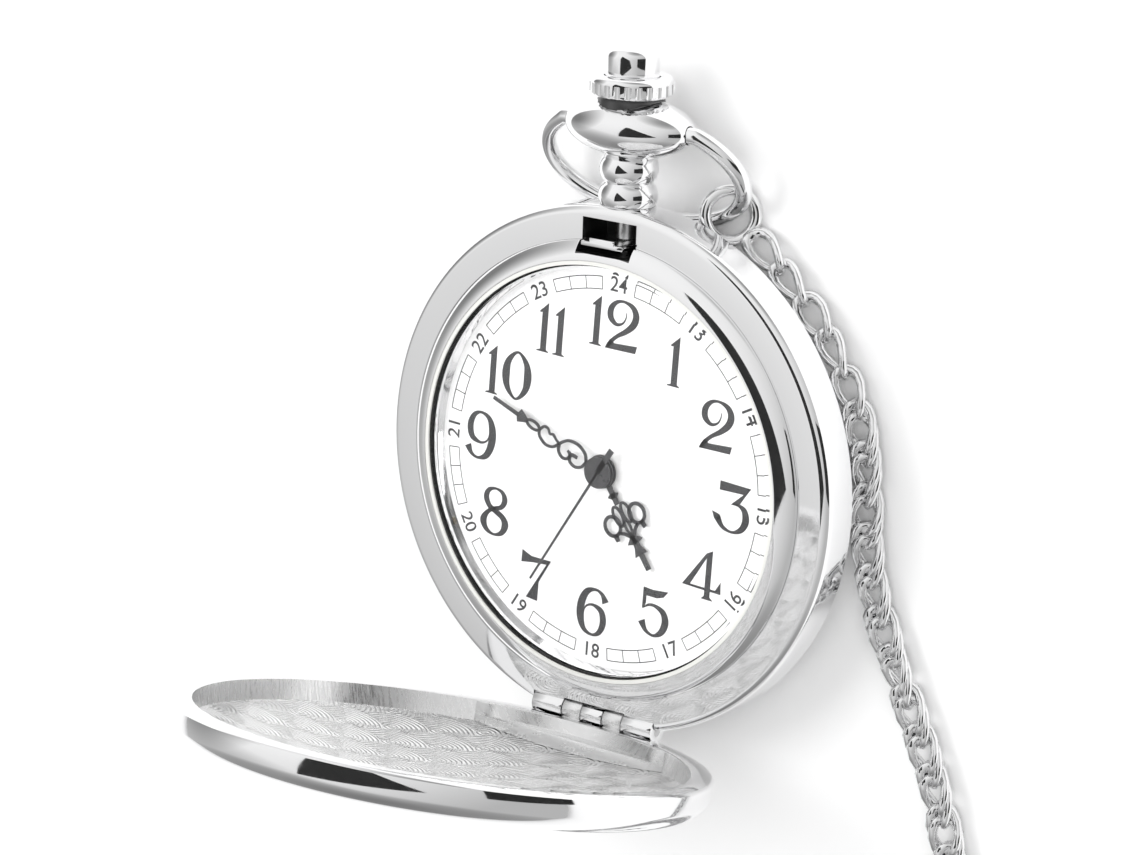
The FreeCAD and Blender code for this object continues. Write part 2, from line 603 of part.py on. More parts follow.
def knuckle_spans():
    """Case knuckles at the ends and in the middle, cover knuckles between them."""
    half = HINGE_L / 2
    middle = MIDDLE_KNUCKLE_W / 2
    case = [(-half, -half + KNUCKLE_W), (-middle, middle), (half - KNUCKLE_W, half)]
    cover = [(-half + KNUCKLE_W + KNUCKLE_GAP, -middle - KNUCKLE_GAP),
             (middle + KNUCKLE_GAP, half - KNUCKLE_W - KNUCKLE_GAP)]
    return case, cover


def knuckle(span):
    return cyl_x(BARREL_R, span[0], span[1], HINGE_Y, HINGE_Z)


def pin_hole(radius):
    return cyl_x(radius, -HINGE_L, HINGE_L, HINGE_Y, HINGE_Z)


def case_hinge():
    case, cover = knuckle_spans()
    body = fuse([hinge_base()] + [knuckle(span) for span in case])
    room = [cyl_x(BARREL_R + HINGE_ROOM, a - KNUCKLE_GAP, b + KNUCKLE_GAP, HINGE_Y, HINGE_Z) for a, b in cover]
    swing = [box(a - KNUCKLE_GAP, b + KNUCKLE_GAP, HINGE_Y - 3, HINGE_Y, HINGE_Z - 3, RIM_Z + 1) for a, b in cover]
    return body.cut(room + swing + [pin_hole(PIN_R), lift_room()])


def hinge_pin():
    half = HINGE_L / 2
    return cyl_x(PIN_R, -half, half, HINGE_Y, HINGE_Z)


def lift_room():
    y0 = -BEZEL_SEAT_R - 0.7
    return wide_box(LIFT_W + 2 * GAP, y0 - 0.6, y0 + GAP, LIFT_Z0 - GAP, RIM_Z + 1)


def lift_spring():
    """Leaf spring standing in the band behind the barrels, which throws the cover open."""
    y1 = -BEZEL_SEAT_R - 0.7 + GAP
    leaf = wide_box(LIFT_W, y1 - LIFT_T, y1, LIFT_Z0 - GAP, RIM_Z - GAP)
    slit = wide_box(LIFT_W / 3, y1 - 1, y1 + 1, LIFT_Z0 + 0.5, RIM_Z + 1)
    return leaf.cut(slit)


def cover_outer():
    top = COVER_PLANE + COVER_WALL_H
    edge = (COVER_R - 2.6, top + 0.9)
    return turned([
        (0, COVER_PLANE), (COVER_R - 0.25, COVER_PLANE), (COVER_R, COVER_PLANE + 0.25),
        (COVER_R, top - 0.7), ((COVER_R - 0.62, top + 0.25), edge), dome(edge, top + COVER_DOME_H),
    ])


def cover_inner():
    edge = (COVER_WALL_R, COVER_PLANE + COVER_INNER_H)
    crown = COVER_PLANE + COVER_WALL_H + COVER_DOME_H - COVER_SKIN
    return turned([(0, COVER_PLANE - 1), (COVER_WALL_R, COVER_PLANE - 1), edge, dome(edge, crown)])


def cover_webs(extra=0.0):
    """Plates that join the cover's knuckles to its block, through the wall."""
    y1 = -BEZEL_SEAT_R - GAP
    z0 = COVER_PLANE - extra
    return [box(a - extra, b + extra, HINGE_Y, y1, z0, z0 + 0.9 + 2 * extra) for a, b in knuckle_spans()[1]]


def bezel_room():
    """What the cover's block leaves free over the bezel."""
    return cyl(BEZEL_SEAT_R + GAP, 0, BEZEL_TOP_Z + GAP)


def cover_shell():
    return opened(cover_outer().cut([cover_inner(), barrel_room(FIT)] + cover_webs(FIT)))


def cover_hinge():
    """Flat-faced block soldered inside the wall, with the cover's two knuckles."""
    reach = BLOCK_CHORD
    height = COVER_WALL_H + COVER_DOME_H
    segment = wide_box(2 * COVER_R, -COVER_R, -reach, COVER_PLANE, COVER_PLANE + height)
    segment = segment.common(cover_inner()).cut([barrel_room(), bezel_room()])
    knuckles = [knuckle(span) for span in knuckle_spans()[1]]
    return opened(fuse([segment] + knuckles + cover_webs()).cut(pin_hole(PIN_R + RUN)))


def cover_catch():
    z0 = LATCH_TOP_Z - LATCH_NOSE_T - GAP - CATCH_T
    ledge = tube(COVER_WALL_R, COVER_WALL_R - CATCH_REACH, z0, z0 + CATCH_T)
    return opened(ledge.common(wide_box(CATCH_W, 0, COVER_R, 0, RIM_Z + 5)))


def latch():
    y1 = LATCH_Y0 + LATCH_T
    plate = wide_box(LATCH_W, LATCH_Y0, y1, SLOT_Z0 + GAP, LATCH_TOP_Z)
    nose = wide_box(LATCH_W * 0.6, LATCH_Y0, y1 + LATCH_NOSE_L, LATCH_TOP_Z - LATCH_NOSE_T, LATCH_TOP_Z)
    return plate.fuse(nose).removeSplitter().cut(cyl_y(STEM_R + GAP, LATCH_Y0 - 1, y1 + 1))


# --- pendant, bow, crown and button ---

def neck():
    steps = [(0, NECK_Y0 - 0.6), (NECK_WAIST_R, NECK_Y0 - 0.6), (NECK_WAIST_R, NECK_Y0)]
    for i in range(NECK_BEADS):
        middle = NECK_Y0 + NECK_PITCH * (i + 0.5)
        steps.append(((NECK_BEAD_R, middle), (NECK_WAIST_R, middle + NECK_PITCH / 2)))
    steps += [(NECK_WAIST_R, HEAD_Y), (0, HEAD_Y)]
    return turned_y(steps)


def head():
    ball = Part.makeSphere(1.0)
    stretch = FreeCAD.Matrix()
    stretch.scale(vec(HEAD_RX, HEAD_RY, HEAD_RZ))
    shape = ball.transformGeometry(stretch)
    shape.translate(BOW_PIVOT)
    return shape


def pendant():
    spigot = cyl_y(PENDANT_SPIGOT_R - FIT, SLOT_Y1 + FIT, NECK_Y0 + NECK_PITCH)
    shape = neck().fuse([head(), cyl_y(COLLAR_R, HEAD_Y, COLLAR_TOP_Y)])
    shape = shape.cut(cyl(CASE_R + FIT, -1, RIM_Z + 3)).fuse(spigot)
    holes = [cyl_x(BOW_WIRE_R + RUN, BOW_PIVOT_X - GAP, HEAD_RX + 1, HEAD_Y, AXIS_Z),
             cyl_x(BOW_WIRE_R + RUN, -HEAD_RX - 1, -BOW_PIVOT_X + GAP, HEAD_Y, AXIS_Z)]
    bores = [cyl_y(PENDANT_BORE_R, SLOT_Y1 - 1, COLLAR_TOP_Y + 1),
             cyl_y(SPRING_SEAT_R, SPRING_SEAT_Y, COLLAR_TOP_Y + 1)]
    return shape.cut(holes + bores)


def pendant_tube():
    inner = PENDANT_BORE_R - TUBE_WALL
    outer = cyl_y(PENDANT_BORE_R, SLOT_Y1, SPRING_SEAT_Y)
    return outer.cut(cyl_y(inner, SLOT_Y1 - 1, SPRING_SEAT_Y + 1))


def bow_point(turn):
    """Point of the bow's centre line, turn degrees from its lowest point."""
    t = math.radians(turn)
    fold = math.radians(BOW_FOLD)
    down = BOW_MID + BOW_RY * math.cos(t)
    return vec(BOW_RX * math.sin(t), HEAD_Y - down * math.cos(fold), AXIS_Z - down * math.sin(fold))


def bow():
    """Oval wire loop with two straight pivots that turn in the head."""
    end = math.degrees(math.acos(-BOW_MID / BOW_RY))
    oval = Part.Ellipse(vec(0, -BOW_MID), BOW_RX, BOW_RY)
    path = oval.toShape(math.radians(-90 - end), math.radians(-90 + end))
    start = path.firstVertex().Point
    slope = path.tangentAt(path.FirstParameter)
    section = Part.Wire(Part.makeCircle(BOW_WIRE_R, start, slope))
    loop = Part.Wire(path).makePipeShell([section], True, True)
    joint_x = abs(start.x)
    pieces = [loop]
    for side in (-1, 1):
        near, far = sorted((side * BOW_PIVOT_X, side * joint_x))
        pieces.append(cyl_x(BOW_WIRE_R, near, far, 0, 0))
        pieces.append(Part.makeSphere(BOW_WIRE_R, vec(side * joint_x, 0)))
    shape = fuse(pieces)
    shape.rotate(vec(0, 0), X_AXIS, BOW_FOLD)
    shape.translate(BOW_PIVOT)
    return shape


def crown_ring():
    y1 = CROWN_Y0 + CROWN_H
    inner = BUTTON_R + GAP
    web = CROWN_Y0 + CROWN_WEB_T
    ring = turned_y([
        (0, CROWN_Y0), (CROWN_R - CROWN_EDGE / 2, CROWN_Y0), (CROWN_R, CROWN_Y0 + CROWN_EDGE / 2),
        (CROWN_R, y1 - CROWN_EDGE), ((CROWN_R - CROWN_EDGE * 0.35, y1 - CROWN_EDGE * 0.35), (CROWN_R - CROWN_EDGE, y1)),
        (inner + 0.15, y1), (inner, y1 - 0.15), (inner, web), (0, web),
    ])
    cuts = [cyl_y(STEM_R, 0, y1)]
    cuts += [cyl_y(PRONG_R + RUN, 0, y1, s * PRONG_PLACE) for s in (-1, 1)]
    for i in range(CROWN_KNURLS):
        x, z = polar(CROWN_R + 0.04, 360.0 / CROWN_KNURLS * i, 0, AXIS_Z)
        cuts.append(cyl_y(KNURL_R, CROWN_Y0 - 1, y1 - CROWN_EDGE * 0.6, x, z))
    return ring.cut(cuts)


def stem():
    shaft = cyl_y(STEM_R, PINION_Y0 + PINION_L, CROWN_Y0 + CROWN_WEB_T)
    end = cyl_y(STEM_END_R, STEM_Y0, PINION_Y0 + PINION_L)
    groove = cyl_y(STEM_R + 1, LEVER_Y - GAP, LEVER_Y + LEVER_T + GAP).cut(cyl_y(GROOVE_R, 0, MOVE_R))
    return shaft.cut(groove).fuse(end).removeSplitter()


def sliding_pinion():
    teeth = gear(8, 2 * PINION_R / 9.7, PINION_Y0, 0, 0, 0, PINION_L)
    teeth.rotate(vec(0, 0), X_AXIS, -90)
    teeth.translate(vec(0, 0, AXIS_Z))
    return teeth.cut(cyl_y(STEM_END_R, 0, MOVE_R))


def lever_room():
    return box(-2.0, 1.0, LEVER_Y - GAP, LEVER_Y + LEVER_T + PULL + GAP, PLATE_Z0 - 1, PLATE_TOP + 1)


def setting_lever():
    """Fork in the stem's groove, which slides with the stem and doesn't turn."""
    body = box(-1.8, 0.6, LEVER_Y, LEVER_Y + LEVER_T, PLATE_Z0 + 0.02, PLATE_TOP - 0.02)
    mouth = cyl_y(GROOVE_R + RUN, 0, MOVE_R)
    opening = box(0, 2, LEVER_Y - 1, LEVER_Y + 1, AXIS_Z - GROOVE_R - RUN, AXIS_Z + GROOVE_R + RUN)
    return body.cut([mouth, opening])


def push_button():
    edge = BUTTON_EDGE
    shoulder = BUTTON_TOP_Y - edge
    cap = turned_y([
        (0, BUTTON_Y0), (BUTTON_R, BUTTON_Y0), (BUTTON_R, shoulder),
        ((BUTTON_R - edge * 0.35, BUTTON_TOP_Y - edge * 0.42), (BUTTON_R - edge, BUTTON_TOP_Y - edge * 0.14)),
        (0, BUTTON_TOP_Y),
    ])
    prongs = [cyl_y(PRONG_R, PLUNGER_TOP_Y + FIT, BUTTON_Y0, s * PRONG_PLACE) for s in (-1, 1)]
    return fuse([cap] + prongs)


def plunger():
    end = LATCH_Y0 + LATCH_T + FIT
    sleeve = cyl_y(PLUNGER_R, end, PLUNGER_TOP_Y)
    flange = cyl_y(PLUNGER_FLANGE_R, PLUNGER_TOP_Y - PLUNGER_FLANGE_T, PLUNGER_TOP_Y)
    return fuse([sleeve, flange]).cut(cyl_y(PLUNGER_BORE_R, end - 1, PLUNGER_TOP_Y + 1))


def button_spring():
    """Return spring of flat turns, each joined to the next by a short link."""
    y0 = SPRING_SEAT_Y + FIT
    rise = (PLUNGER_TOP_Y - PLUNGER_FLANGE_T - FIT - SPRING_WIRE - y0) / (SPRING_TURNS - 1)
    outer, inner = SPRING_R + SPRING_WIRE / 2, SPRING_R - SPRING_WIRE / 2
    pieces = []
    for i in range(SPRING_TURNS):
        y = y0 + rise * i
        pieces.append(cyl_y(outer, y, y + SPRING_WIRE).cut(cyl_y(inner, y - 1, y + 1)))
    for i in range(SPRING_TURNS - 1):
        x = SPRING_R * (-1) ** i
        half = SPRING_WIRE / 3
        pieces.append(box(x - half, x + half, y0 + rise * i + half, y0 + rise * (i + 1) + half,
                          AXIS_Z - half, AXIS_Z + half))
    return fuse(pieces)


# --- hands ---

def placed_hand(shape, clockwise):
    shape.rotate(vec(0, 0), Z_AXIS, -clockwise)
    return shape


def pierced_hand(length, hub_r, bore_r, z0, loops, clockwise):
    """A bar hand with a hub and open rings along it, pointing to twelve before it is turned."""
    z1 = z0 + HAND_T
    pieces = [cyl(hub_r, z0, z1), wide_box(HAND_BAR_W, 0, length - 1.2, z0, z1)]
    tip = Part.makePolygon([vec(-0.5, length - 2.4, z0), vec(0.5, length - 2.4, z0), vec(0, length, z0),
                            vec(-0.5, length - 2.4, z0)])
    pieces.append(Part.Face(tip).extrude(vec(0, 0, HAND_T)))
    for x, y in loops:
        pieces.append(tube(HAND_LOOP_R, HAND_LOOP_R - HAND_LOOP_W, z0, z1, x, y))
    return placed_hand(fuse(pieces).cut(cyl(bore_r, z0 - 1, z1 + 1)), clockwise)


def hour_hand():
    loops = [(s * HAND_LOOP_R * 0.9, 4.2) for s in (-1, 1)] + [(0, 5.7)]
    return pierced_hand(HOUR_LENGTH, 1.3, HOUR_TUBE_R, HOUR_HAND_Z, loops, HOUR_AT)


def minute_hand():
    loops = [(s * HAND_LOOP_R * 0.6, 2.6) for s in (-1, 1)] + [(0, 4.2), (0, 5.6)]
    return pierced_hand(MINUTE_LENGTH, 1.0, CENTRE_TUBE_R, MINUTE_HAND_Z, loops, MINUTE_AT)


def second_hand():
    z1 = SECOND_HAND_Z + HAND_T
    bar = wide_box(SECOND_BAR_W, -SECOND_TAIL, SECOND_LENGTH, SECOND_HAND_Z, z1)
    cap = cyl(0.8, SECOND_HAND_Z, z1 + 0.1)
    bore = cyl(ARBOR_R, SECOND_HAND_Z - 1, z1)
    return placed_hand(fuse([bar, cap]).cut(bore), SECOND_AT)


# --- chain ---

def jump_ring():
    place = bow_point(RING_TURN)
    normal = vec(*RING_NORMAL).normalize()
    height = RING_WIRE_R + RING_R * math.hypot(normal.x, normal.y)
    return Part.makeTorus(RING_R, RING_WIRE_R, vec(place.x + RING_SLIP, place.y, height), normal)


def corner_radius(a, b, c):
    """0.45 of the shorter run over the tangent of half the turn."""
    first, second = b.sub(a), c.sub(b)
    turn = first.getAngle(second)
    return 0.45 * min(first.Length, second.Length) / math.tan(turn / 2), turn


def cord_path(points):
    """Straight runs joined by tangent arcs."""
    edges, radii = [], []
    here = points[0]
    for a, b, c in zip(points, points[1:], points[2:]):
        radius, turn = corner_radius(a, b, c)
        cut = radius * math.tan(turn / 2)
        into, out = b.sub(a).normalize(), c.sub(b).normalize()
        start, end = b.sub(into * cut), b.add(out * cut)
        inward = out.sub(into).normalize()
        middle = b.add(inward * (radius / math.cos(turn / 2) - radius))
        edges.append(Part.LineSegment(here, start).toShape())
        edges.append(Part.Arc(start, middle, end).toShape())
        radii.append(radius)
        here = end
    edges.append(Part.LineSegment(here, points[-1]).toShape())
    return Part.Wire(edges), radii


def chain():
    radius = CHAIN_D / 2
    points = [vec(x, y, radius) for x, y in CHAIN_ROUTE]
    path, radii = cord_path(points)
    section = Part.Wire(Part.makeCircle(radius, points[0], points[1].sub(points[0])))
    shape = path.makePipeShell([section], True, False)
    share = shape.Volume / (math.pi * radius ** 2 * path.Length)
    print("chain length", round(path.Length, 1), "volume share", round(share, 4))
    print("chain radii", [round(r, 1) for r in radii])
    return shape


def chain_coil():
    """The put-away turns of the chain as one flat ring."""
    radius = CHAIN_D / 2
    outer = COIL_START_R + radius
    inner = COIL_START_R - COIL_TURNS * CHAIN_D - radius
    ring = tube(outer, inner, 0, CHAIN_D, CHAIN_COIL_X, CHAIN_COIL_Y)
    return ring.cut(chain())


def clasp_place(shape):
    """From the clasp's own frame, eye at the origin and hook along +X, to its place."""
    rise = END_RING_R + END_RING_WIRE_R - CLASP_EYE_Z - CLASP_EYE_T / 2
    x, y = polar(math.sqrt(END_RING_R ** 2 - rise ** 2), CLASP_DIR, END_RING_X, END_RING_Y)
    shape.rotate(vec(0, 0), Z_AXIS, CLASP_DIR)
    shape.translate(vec(x, y))
    return shape


def end_ring():
    angle = math.radians(CLASP_DIR + 90)
    centre = vec(END_RING_X, END_RING_Y, END_RING_R + END_RING_WIRE_R)
    return Part.makeTorus(END_RING_R, END_RING_WIRE_R, centre, vec(math.cos(angle), math.sin(angle)))


def clasp_pivot(radius):
    return cyl(radius, 0, CLASP_T, CLASP_LEVER_X, CLASP_LEVER_Y)


def clasp_body():
    """Flat hook with an eye, a gap in its side and a pocket for the lever."""
    hook_x = CLASP_L - CLASP_HOOK_R
    low = (CLASP_T - CLASP_LEVER_T) / 2
    hook = cyl(CLASP_HOOK_R, 0, CLASP_T, hook_x, 0)
    shank = box(CLASP_TAIL_R - 0.2, hook_x, -1.5, 1.5, 0, CLASP_T)
    eye = cyl(CLASP_TAIL_R, CLASP_EYE_Z, CLASP_EYE_Z + CLASP_EYE_T)
    gap = box(hook_x - 2.6, hook_x + 1.2, 0.2, CLASP_HOOK_R + 1, -1, CLASP_T + 1)
    pocket = box(CLASP_TAIL_R + 0.5, hook_x, -0.5, 2, low, CLASP_T - low)
    cuts = [cyl(CLASP_HOLE_R, -1, CLASP_T + 1, hook_x, 0), gap, pocket,
            cyl(CLASP_EYE_R, -1, CLASP_T + 1), clasp_pivot(CLASP_PIN_R)]
    return clasp_place(fuse([hook, shank, eye]).cut(cuts))


def clasp_pin():
    return clasp_place(clasp_pivot(CLASP_PIN_R))


def clasp_lever():
    """Sprung arm that closes the hook, with a thumb tab."""
    hook_x = CLASP_L - CLASP_HOOK_R
    low = (CLASP_T - CLASP_LEVER_T) / 2 + FIT
    x0, y0, top = CLASP_LEVER_X, CLASP_LEVER_Y - 0.1, CLASP_T - low
    arm = box(x0, hook_x + 1.1, y0, y0 + CLASP_LEVER_W, low, top)
    boss = cyl(0.7, low, top, x0, CLASP_LEVER_Y)
    thumb = box(x0 + 0.2, x0 + 0.9, 1.5, 2.6, low, top)
    shape = fuse([arm.cut(cyl(CLASP_HOLE_R - 0.2, -1, CLASP_T + 1, hook_x, 0)), boss, thumb])
    return clasp_place(shape.cut(clasp_pivot(CLASP_PIN_R + RUN)))


PIECES = {
    "case_band": case_band, "case_back": case_back, "back_gasket": back_gasket, "bezel": bezel,
    "crystal": crystal, "crystal_gasket": crystal_gasket, "dial_ring": dial_ring, "dial": dial,
    "movement_holder": movement_holder, "main_plate": main_plate, "train_bridge": train_bridge,
    "bridge_screws": bridge_screws, "circuit_board": circuit_board, "chip": chip,
    "quartz_can": quartz_can, "stator": stator, "coil_core": coil_core, "coil_winding": coil_winding,
    "battery": battery, "battery_strap": battery_strap, "rotor": rotor, "fifth_wheel": fifth_wheel,
    "second_wheel": second_wheel, "third_wheel": third_wheel, "centre_wheel": centre_wheel,
    "minute_wheel": minute_wheel, "hour_wheel": hour_wheel, "setting_wheel": setting_wheel,
    "hour_hand": hour_hand, "minute_hand": minute_hand, "second_hand": second_hand,
    "case_hinge": case_hinge, "hinge_pin": hinge_pin, "lift_spring": lift_spring,
    "cover_shell": cover_shell, "cover_hinge": cover_hinge, "cover_catch": cover_catch,
    "latch": latch, "pendant": pendant, "pendant_tube": pendant_tube, "bow": bow,
    "crown_ring": crown_ring, "stem": stem, "sliding_pinion": sliding_pinion,
    "setting_lever": setting_lever, "push_button": push_button, "plunger": plunger,
    "button_spring": button_spring, "jump_ring": jump_ring, "chain": chain,
    "chain_coil": chain_coil, "end_ring": end_ring, "clasp_body": clasp_body,
    "clasp_lever": clasp_lever, "clasp_pin": clasp_pin,
}

os.makedirs("parts", exist_ok=True)
for name, make in PIECES.items():
    piece = make()
    if not piece.isValid():
        print("not valid:", name)
    print(name, len(piece.Solids), round(piece.Volume, 2))
    piece.exportStep("parts/" + name + ".step")
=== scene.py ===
import json
import math

import bpy
from mathutils import Matrix, Vector


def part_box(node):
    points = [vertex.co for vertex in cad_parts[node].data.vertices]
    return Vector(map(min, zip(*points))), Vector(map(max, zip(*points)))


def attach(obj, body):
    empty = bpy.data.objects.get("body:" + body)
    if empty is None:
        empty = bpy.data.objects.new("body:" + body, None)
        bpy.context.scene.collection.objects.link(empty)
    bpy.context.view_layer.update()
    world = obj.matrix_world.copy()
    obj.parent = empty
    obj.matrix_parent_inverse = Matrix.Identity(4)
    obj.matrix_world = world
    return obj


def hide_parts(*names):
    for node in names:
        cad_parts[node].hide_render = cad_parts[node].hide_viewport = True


# A pocket watch on its back with the front cover sprung open, its bow folded to the table and
# its chain beside it. Lengths in this script are millimetres; MM turns them into metres.

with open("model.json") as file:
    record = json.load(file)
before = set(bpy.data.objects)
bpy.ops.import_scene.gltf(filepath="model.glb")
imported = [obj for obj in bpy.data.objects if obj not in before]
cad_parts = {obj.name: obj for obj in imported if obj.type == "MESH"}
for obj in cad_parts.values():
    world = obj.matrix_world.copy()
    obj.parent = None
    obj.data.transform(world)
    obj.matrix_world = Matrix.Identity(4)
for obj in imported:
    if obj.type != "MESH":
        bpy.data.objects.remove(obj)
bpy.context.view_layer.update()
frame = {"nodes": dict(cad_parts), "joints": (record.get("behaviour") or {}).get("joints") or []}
MM = 0.001


def place_of(joint):
    """Where a joint's axis lies, in millimetres."""
    found = next(j for j in frame["joints"] if j["name"] == joint)
    return Vector(found["pos_m"]) / MM


def span(node):
    """Lowest and highest corner of a CAD node, in millimetres."""
    low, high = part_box(node)
    return low / MM, high / MM


# --- sizes that the pieces share ---
CASE_LOW, CASE_HIGH = span("case_band")
CASE_R, RIM_Z, BAND_Z = CASE_HIGH.x, CASE_HIGH.z, CASE_LOW.z
BEZEL_R, BEZEL_TOP, BEZEL_LOW = (span("bezel")[1].x, span("bezel")[1].z, span("bezel")[0].z)
CRYSTAL_R, CRYSTAL_TOP, CRYSTAL_LOW = (span("crystal")[1].x, span("crystal")[1].z, span("crystal")[0].z)
DIAL_Z = span("dial")[1].z
DIAL_RING_R, DIAL_RING_TOP = span("dial_ring")[1].x, span("dial_ring")[1].z
BACK_R = span("case_back")[1].x
HINGE = place_of("cover_hinge")
BOW_PIVOT = place_of("bow_swing")
AXIS_Z = BOW_PIVOT.z
COVER_OPEN = math.radians(77.4)
COVER_R = span("cover_shell")[1].x
COVER_PLANE = RIM_Z + 0.05
COVER_WALL_R = 21.2
COVER_WALL_H, COVER_DOME_H, COVER_SKIN, COVER_INNER_H = 2.4, 2.5, 0.7, 1.85
BORE_R, BEZEL_SEAT_R, BEZEL_SEAT_Z = 19.3, 20.5, 7.9
RIM_CORNER, BAND_EDGE = 0.8, 0.5
BACK_FLAT_R, BACK_MIDDLE, BACK_WALL = 12.0, (18.2, 1.6), 0.7
SPIGOT_W, SPIGOT_H = 0.75, 0.3
SLOT_X, SLOT_Y0, SLOT_Y1, SLOT_Z = 2.85, 19.35, 22.3, 5.15
BARREL_ROOM_R, BARREL_ROOM_HALF = 1.32, 6.6
PENDANT_HOLE_R = 1.7
CRYSTAL_GAP, CRYSTAL_SEAT_W, CRYSTAL_RISE, CRYSTAL_T = 0.38, 0.7, 1.0, 1.2
BEZEL_INNER_R, DIAL_OPEN_R, DIAL_RING_TOP_R = 19.22, 17.75, 18.1
CLEAR = 0.02
STEPS = 256
PRINT_LIFT = 0.006
PRINT_TURN = math.radians(-2.8)


# --- working helpers ---

def deselect():
    bpy.ops.object.select_all(action="DESELECT")


def pick(*pieces):
    deselect()
    for piece in pieces:
        piece.select_set(True)
    bpy.context.view_layer.objects.active = pieces[0]


def settle(piece):
    """Put the piece's place, turn and size into its mesh."""
    pick(piece)
    bpy.ops.object.transform_apply(location=True, rotation=True, scale=True)
    return piece


def modify(piece, kind, **settings):
    """Add one modifier and apply it."""
    pick(piece)
    modifier = piece.modifiers.new("work", kind)
    for name, value in settings.items():
        setattr(modifier, name, value)
    bpy.ops.object.modifier_apply(modifier="work")
    return piece


def edit_all(piece):
    pick(piece)
    bpy.ops.object.mode_set(mode="EDIT")
    bpy.ops.mesh.select_all(action="SELECT")


def leave_edit():
    bpy.ops.object.mode_set(mode="OBJECT")


def smooth(piece, degrees=35):
    pick(piece)
    bpy.ops.object.shade_smooth_by_angle(angle=math.radians(degrees))
    return piece


def soften(piece, width, segments=3, degrees=30):
    """Round the sharp edges and shade the piece smooth."""
    modify(piece, "BEVEL", width=width * MM, segments=segments, limit_method="ANGLE",
           angle_limit=math.radians(degrees), harden_normals=False)
    return smooth(piece)


def cut(piece, *cutters):
    """Take the cutters away from the piece."""
    for cutter in cutters:
        modify(piece, "BOOLEAN", object=cutter, operation="DIFFERENCE", solver="EXACT")
        bpy.data.objects.remove(cutter)
    return piece


def unite(piece, *others):
    """Join other closed pieces to the piece."""
    for other in others:
        modify(piece, "BOOLEAN", object=other, operation="UNION", solver="EXACT")
        bpy.data.objects.remove(other)
    return piece


def block(x0, x1, y0, y1, z0, z1):
    """Box between two corners."""
    centre = Vector(((x0 + x1) / 2, (y0 + y1) / 2, (z0 + z1) / 2)) * MM
    deselect()
    bpy.ops.mesh.primitive_cube_add(size=1, location=centre)
    piece = bpy.context.object
    piece.scale = Vector((x1 - x0, y1 - y0, z1 - z0)) * MM
    return settle(piece)


def rod(radius, start, end, sides=48):
    """Cylinder from start to end, two points in millimetres."""
    start, end = Vector(start) * MM, Vector(end) * MM
    along = end - start
    deselect()
    bpy.ops.mesh.primitive_cylinder_add(radius=radius * MM, depth=along.length, vertices=sides,
                                        location=(start + end) / 2)
    piece = bpy.context.object
    piece.rotation_mode = "QUATERNION"
    piece.rotation_quaternion = along.to_track_quat("Z", "Y")
    return settle(piece)


def arc(start, middle, end, steps=10):
    """Points after start on the circle through three (r, z) points."""
    ax, ay = start
    bx, by = middle
    cx, cy = end
    d = 2 * (ax * (by - cy) + bx * (cy - ay) + cx * (ay - by))
    a2, b2, c2 = ax * ax + ay * ay, bx * bx + by * by, cx * cx + cy * cy
    ux = (a2 * (by - cy) + b2 * (cy - ay) + c2 * (ay - by)) / d
    uy = (a2 * (cx - bx) + b2 * (ax - cx) + c2 * (bx - ax)) / d
    radius = math.hypot(ax - ux, ay - uy)
    first = math.atan2(ay - uy, ax - ux)
    to_middle = (math.atan2(by - uy, bx - ux) - first) % (2 * math.pi)
    to_end = (math.atan2(cy - uy, cx - ux) - first) % (2 * math.pi)
    if to_middle > to_end:
        to_end -= 2 * math.pi
    turns = [first + to_end * i / steps for i in range(1, steps + 1)]
    return [(ux + radius * math.cos(t), uy + radius * math.sin(t)) for t in turns]


def dome(start, crown, steps=28):
    """Points after start on a spherical cap up to the axis."""
    rise = crown - start[1]
    radius = (start[0] ** 2 + rise ** 2) / (2 * rise)
    radii = [start[0] * (1 - i / steps) for i in range(1, steps + 1)]
    return [(r, crown - radius + math.sqrt(radius ** 2 - r ** 2)) for r in radii]


def lathe(name, outline, closed=True, steps=STEPS):
    """Spin an (r, z) outline about the watch's axis."""
    line = bpy.data.curves.new(name, "CURVE")
    line.dimensions = "3D"
    spline = line.splines.new("POLY")
    spline.points.add(len(outline) - 1)
    for point, (r, z) in zip(spline.points, outline):
        point.co = (r * MM, 0, z * MM, 1)
    spline.use_cyclic_u = closed
    piece = bpy.data.objects.new(name, line)
    bpy.context.collection.objects.link(piece)
    pick(piece)
    bpy.ops.object.convert(target="MESH")
    edit_all(piece)
    bpy.ops.mesh.spin(steps=steps, angle=2 * math.pi, center=(0, 0, 0), axis=(0, 0, 1))
    bpy.ops.mesh.select_all(action="SELECT")
    bpy.ops.mesh.remove_doubles(threshold=1e-7)
    bpy.ops.mesh.normals_make_consistent(inside=False)
    leave_edit()
    return piece


def lathe_y(name, outline, steps=96, closed=True):
    """Spin an (r, y) outline about the pendant's axis."""
    piece = lathe(name, outline, closed, steps)
    piece.rotation_euler = (-math.pi / 2, 0, 0)
    piece.location = (0, 0, AXIS_Z * MM)
    return settle(piece)


def swing_open(piece):
    """Turn a piece that was made for the shut cover to where the cover stands."""
    about = HINGE * MM
    turn = Matrix.Translation(about) @ Matrix.Rotation(COVER_OPEN, 4, "X") @ Matrix.Translation(-about)
    piece.data.transform(turn)
    return piece


def refine(node, width, body, degrees=30):
    """A copy of a CAD node with rounded edges, which takes its place."""
    source = frame["nodes"][node]
    piece = bpy.data.objects.new(node + "_fine", source.data.copy())
    bpy.context.collection.objects.link(piece)
    edit_all(piece)
    bpy.ops.mesh.remove_doubles(threshold=2e-7)
    bpy.ops.mesh.dissolve_limited(angle_limit=math.radians(1))
    leave_edit()
    soften(piece, width, 2, degrees)
    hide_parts(node)
    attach(piece, body)
    return piece


# --- shader kit ---

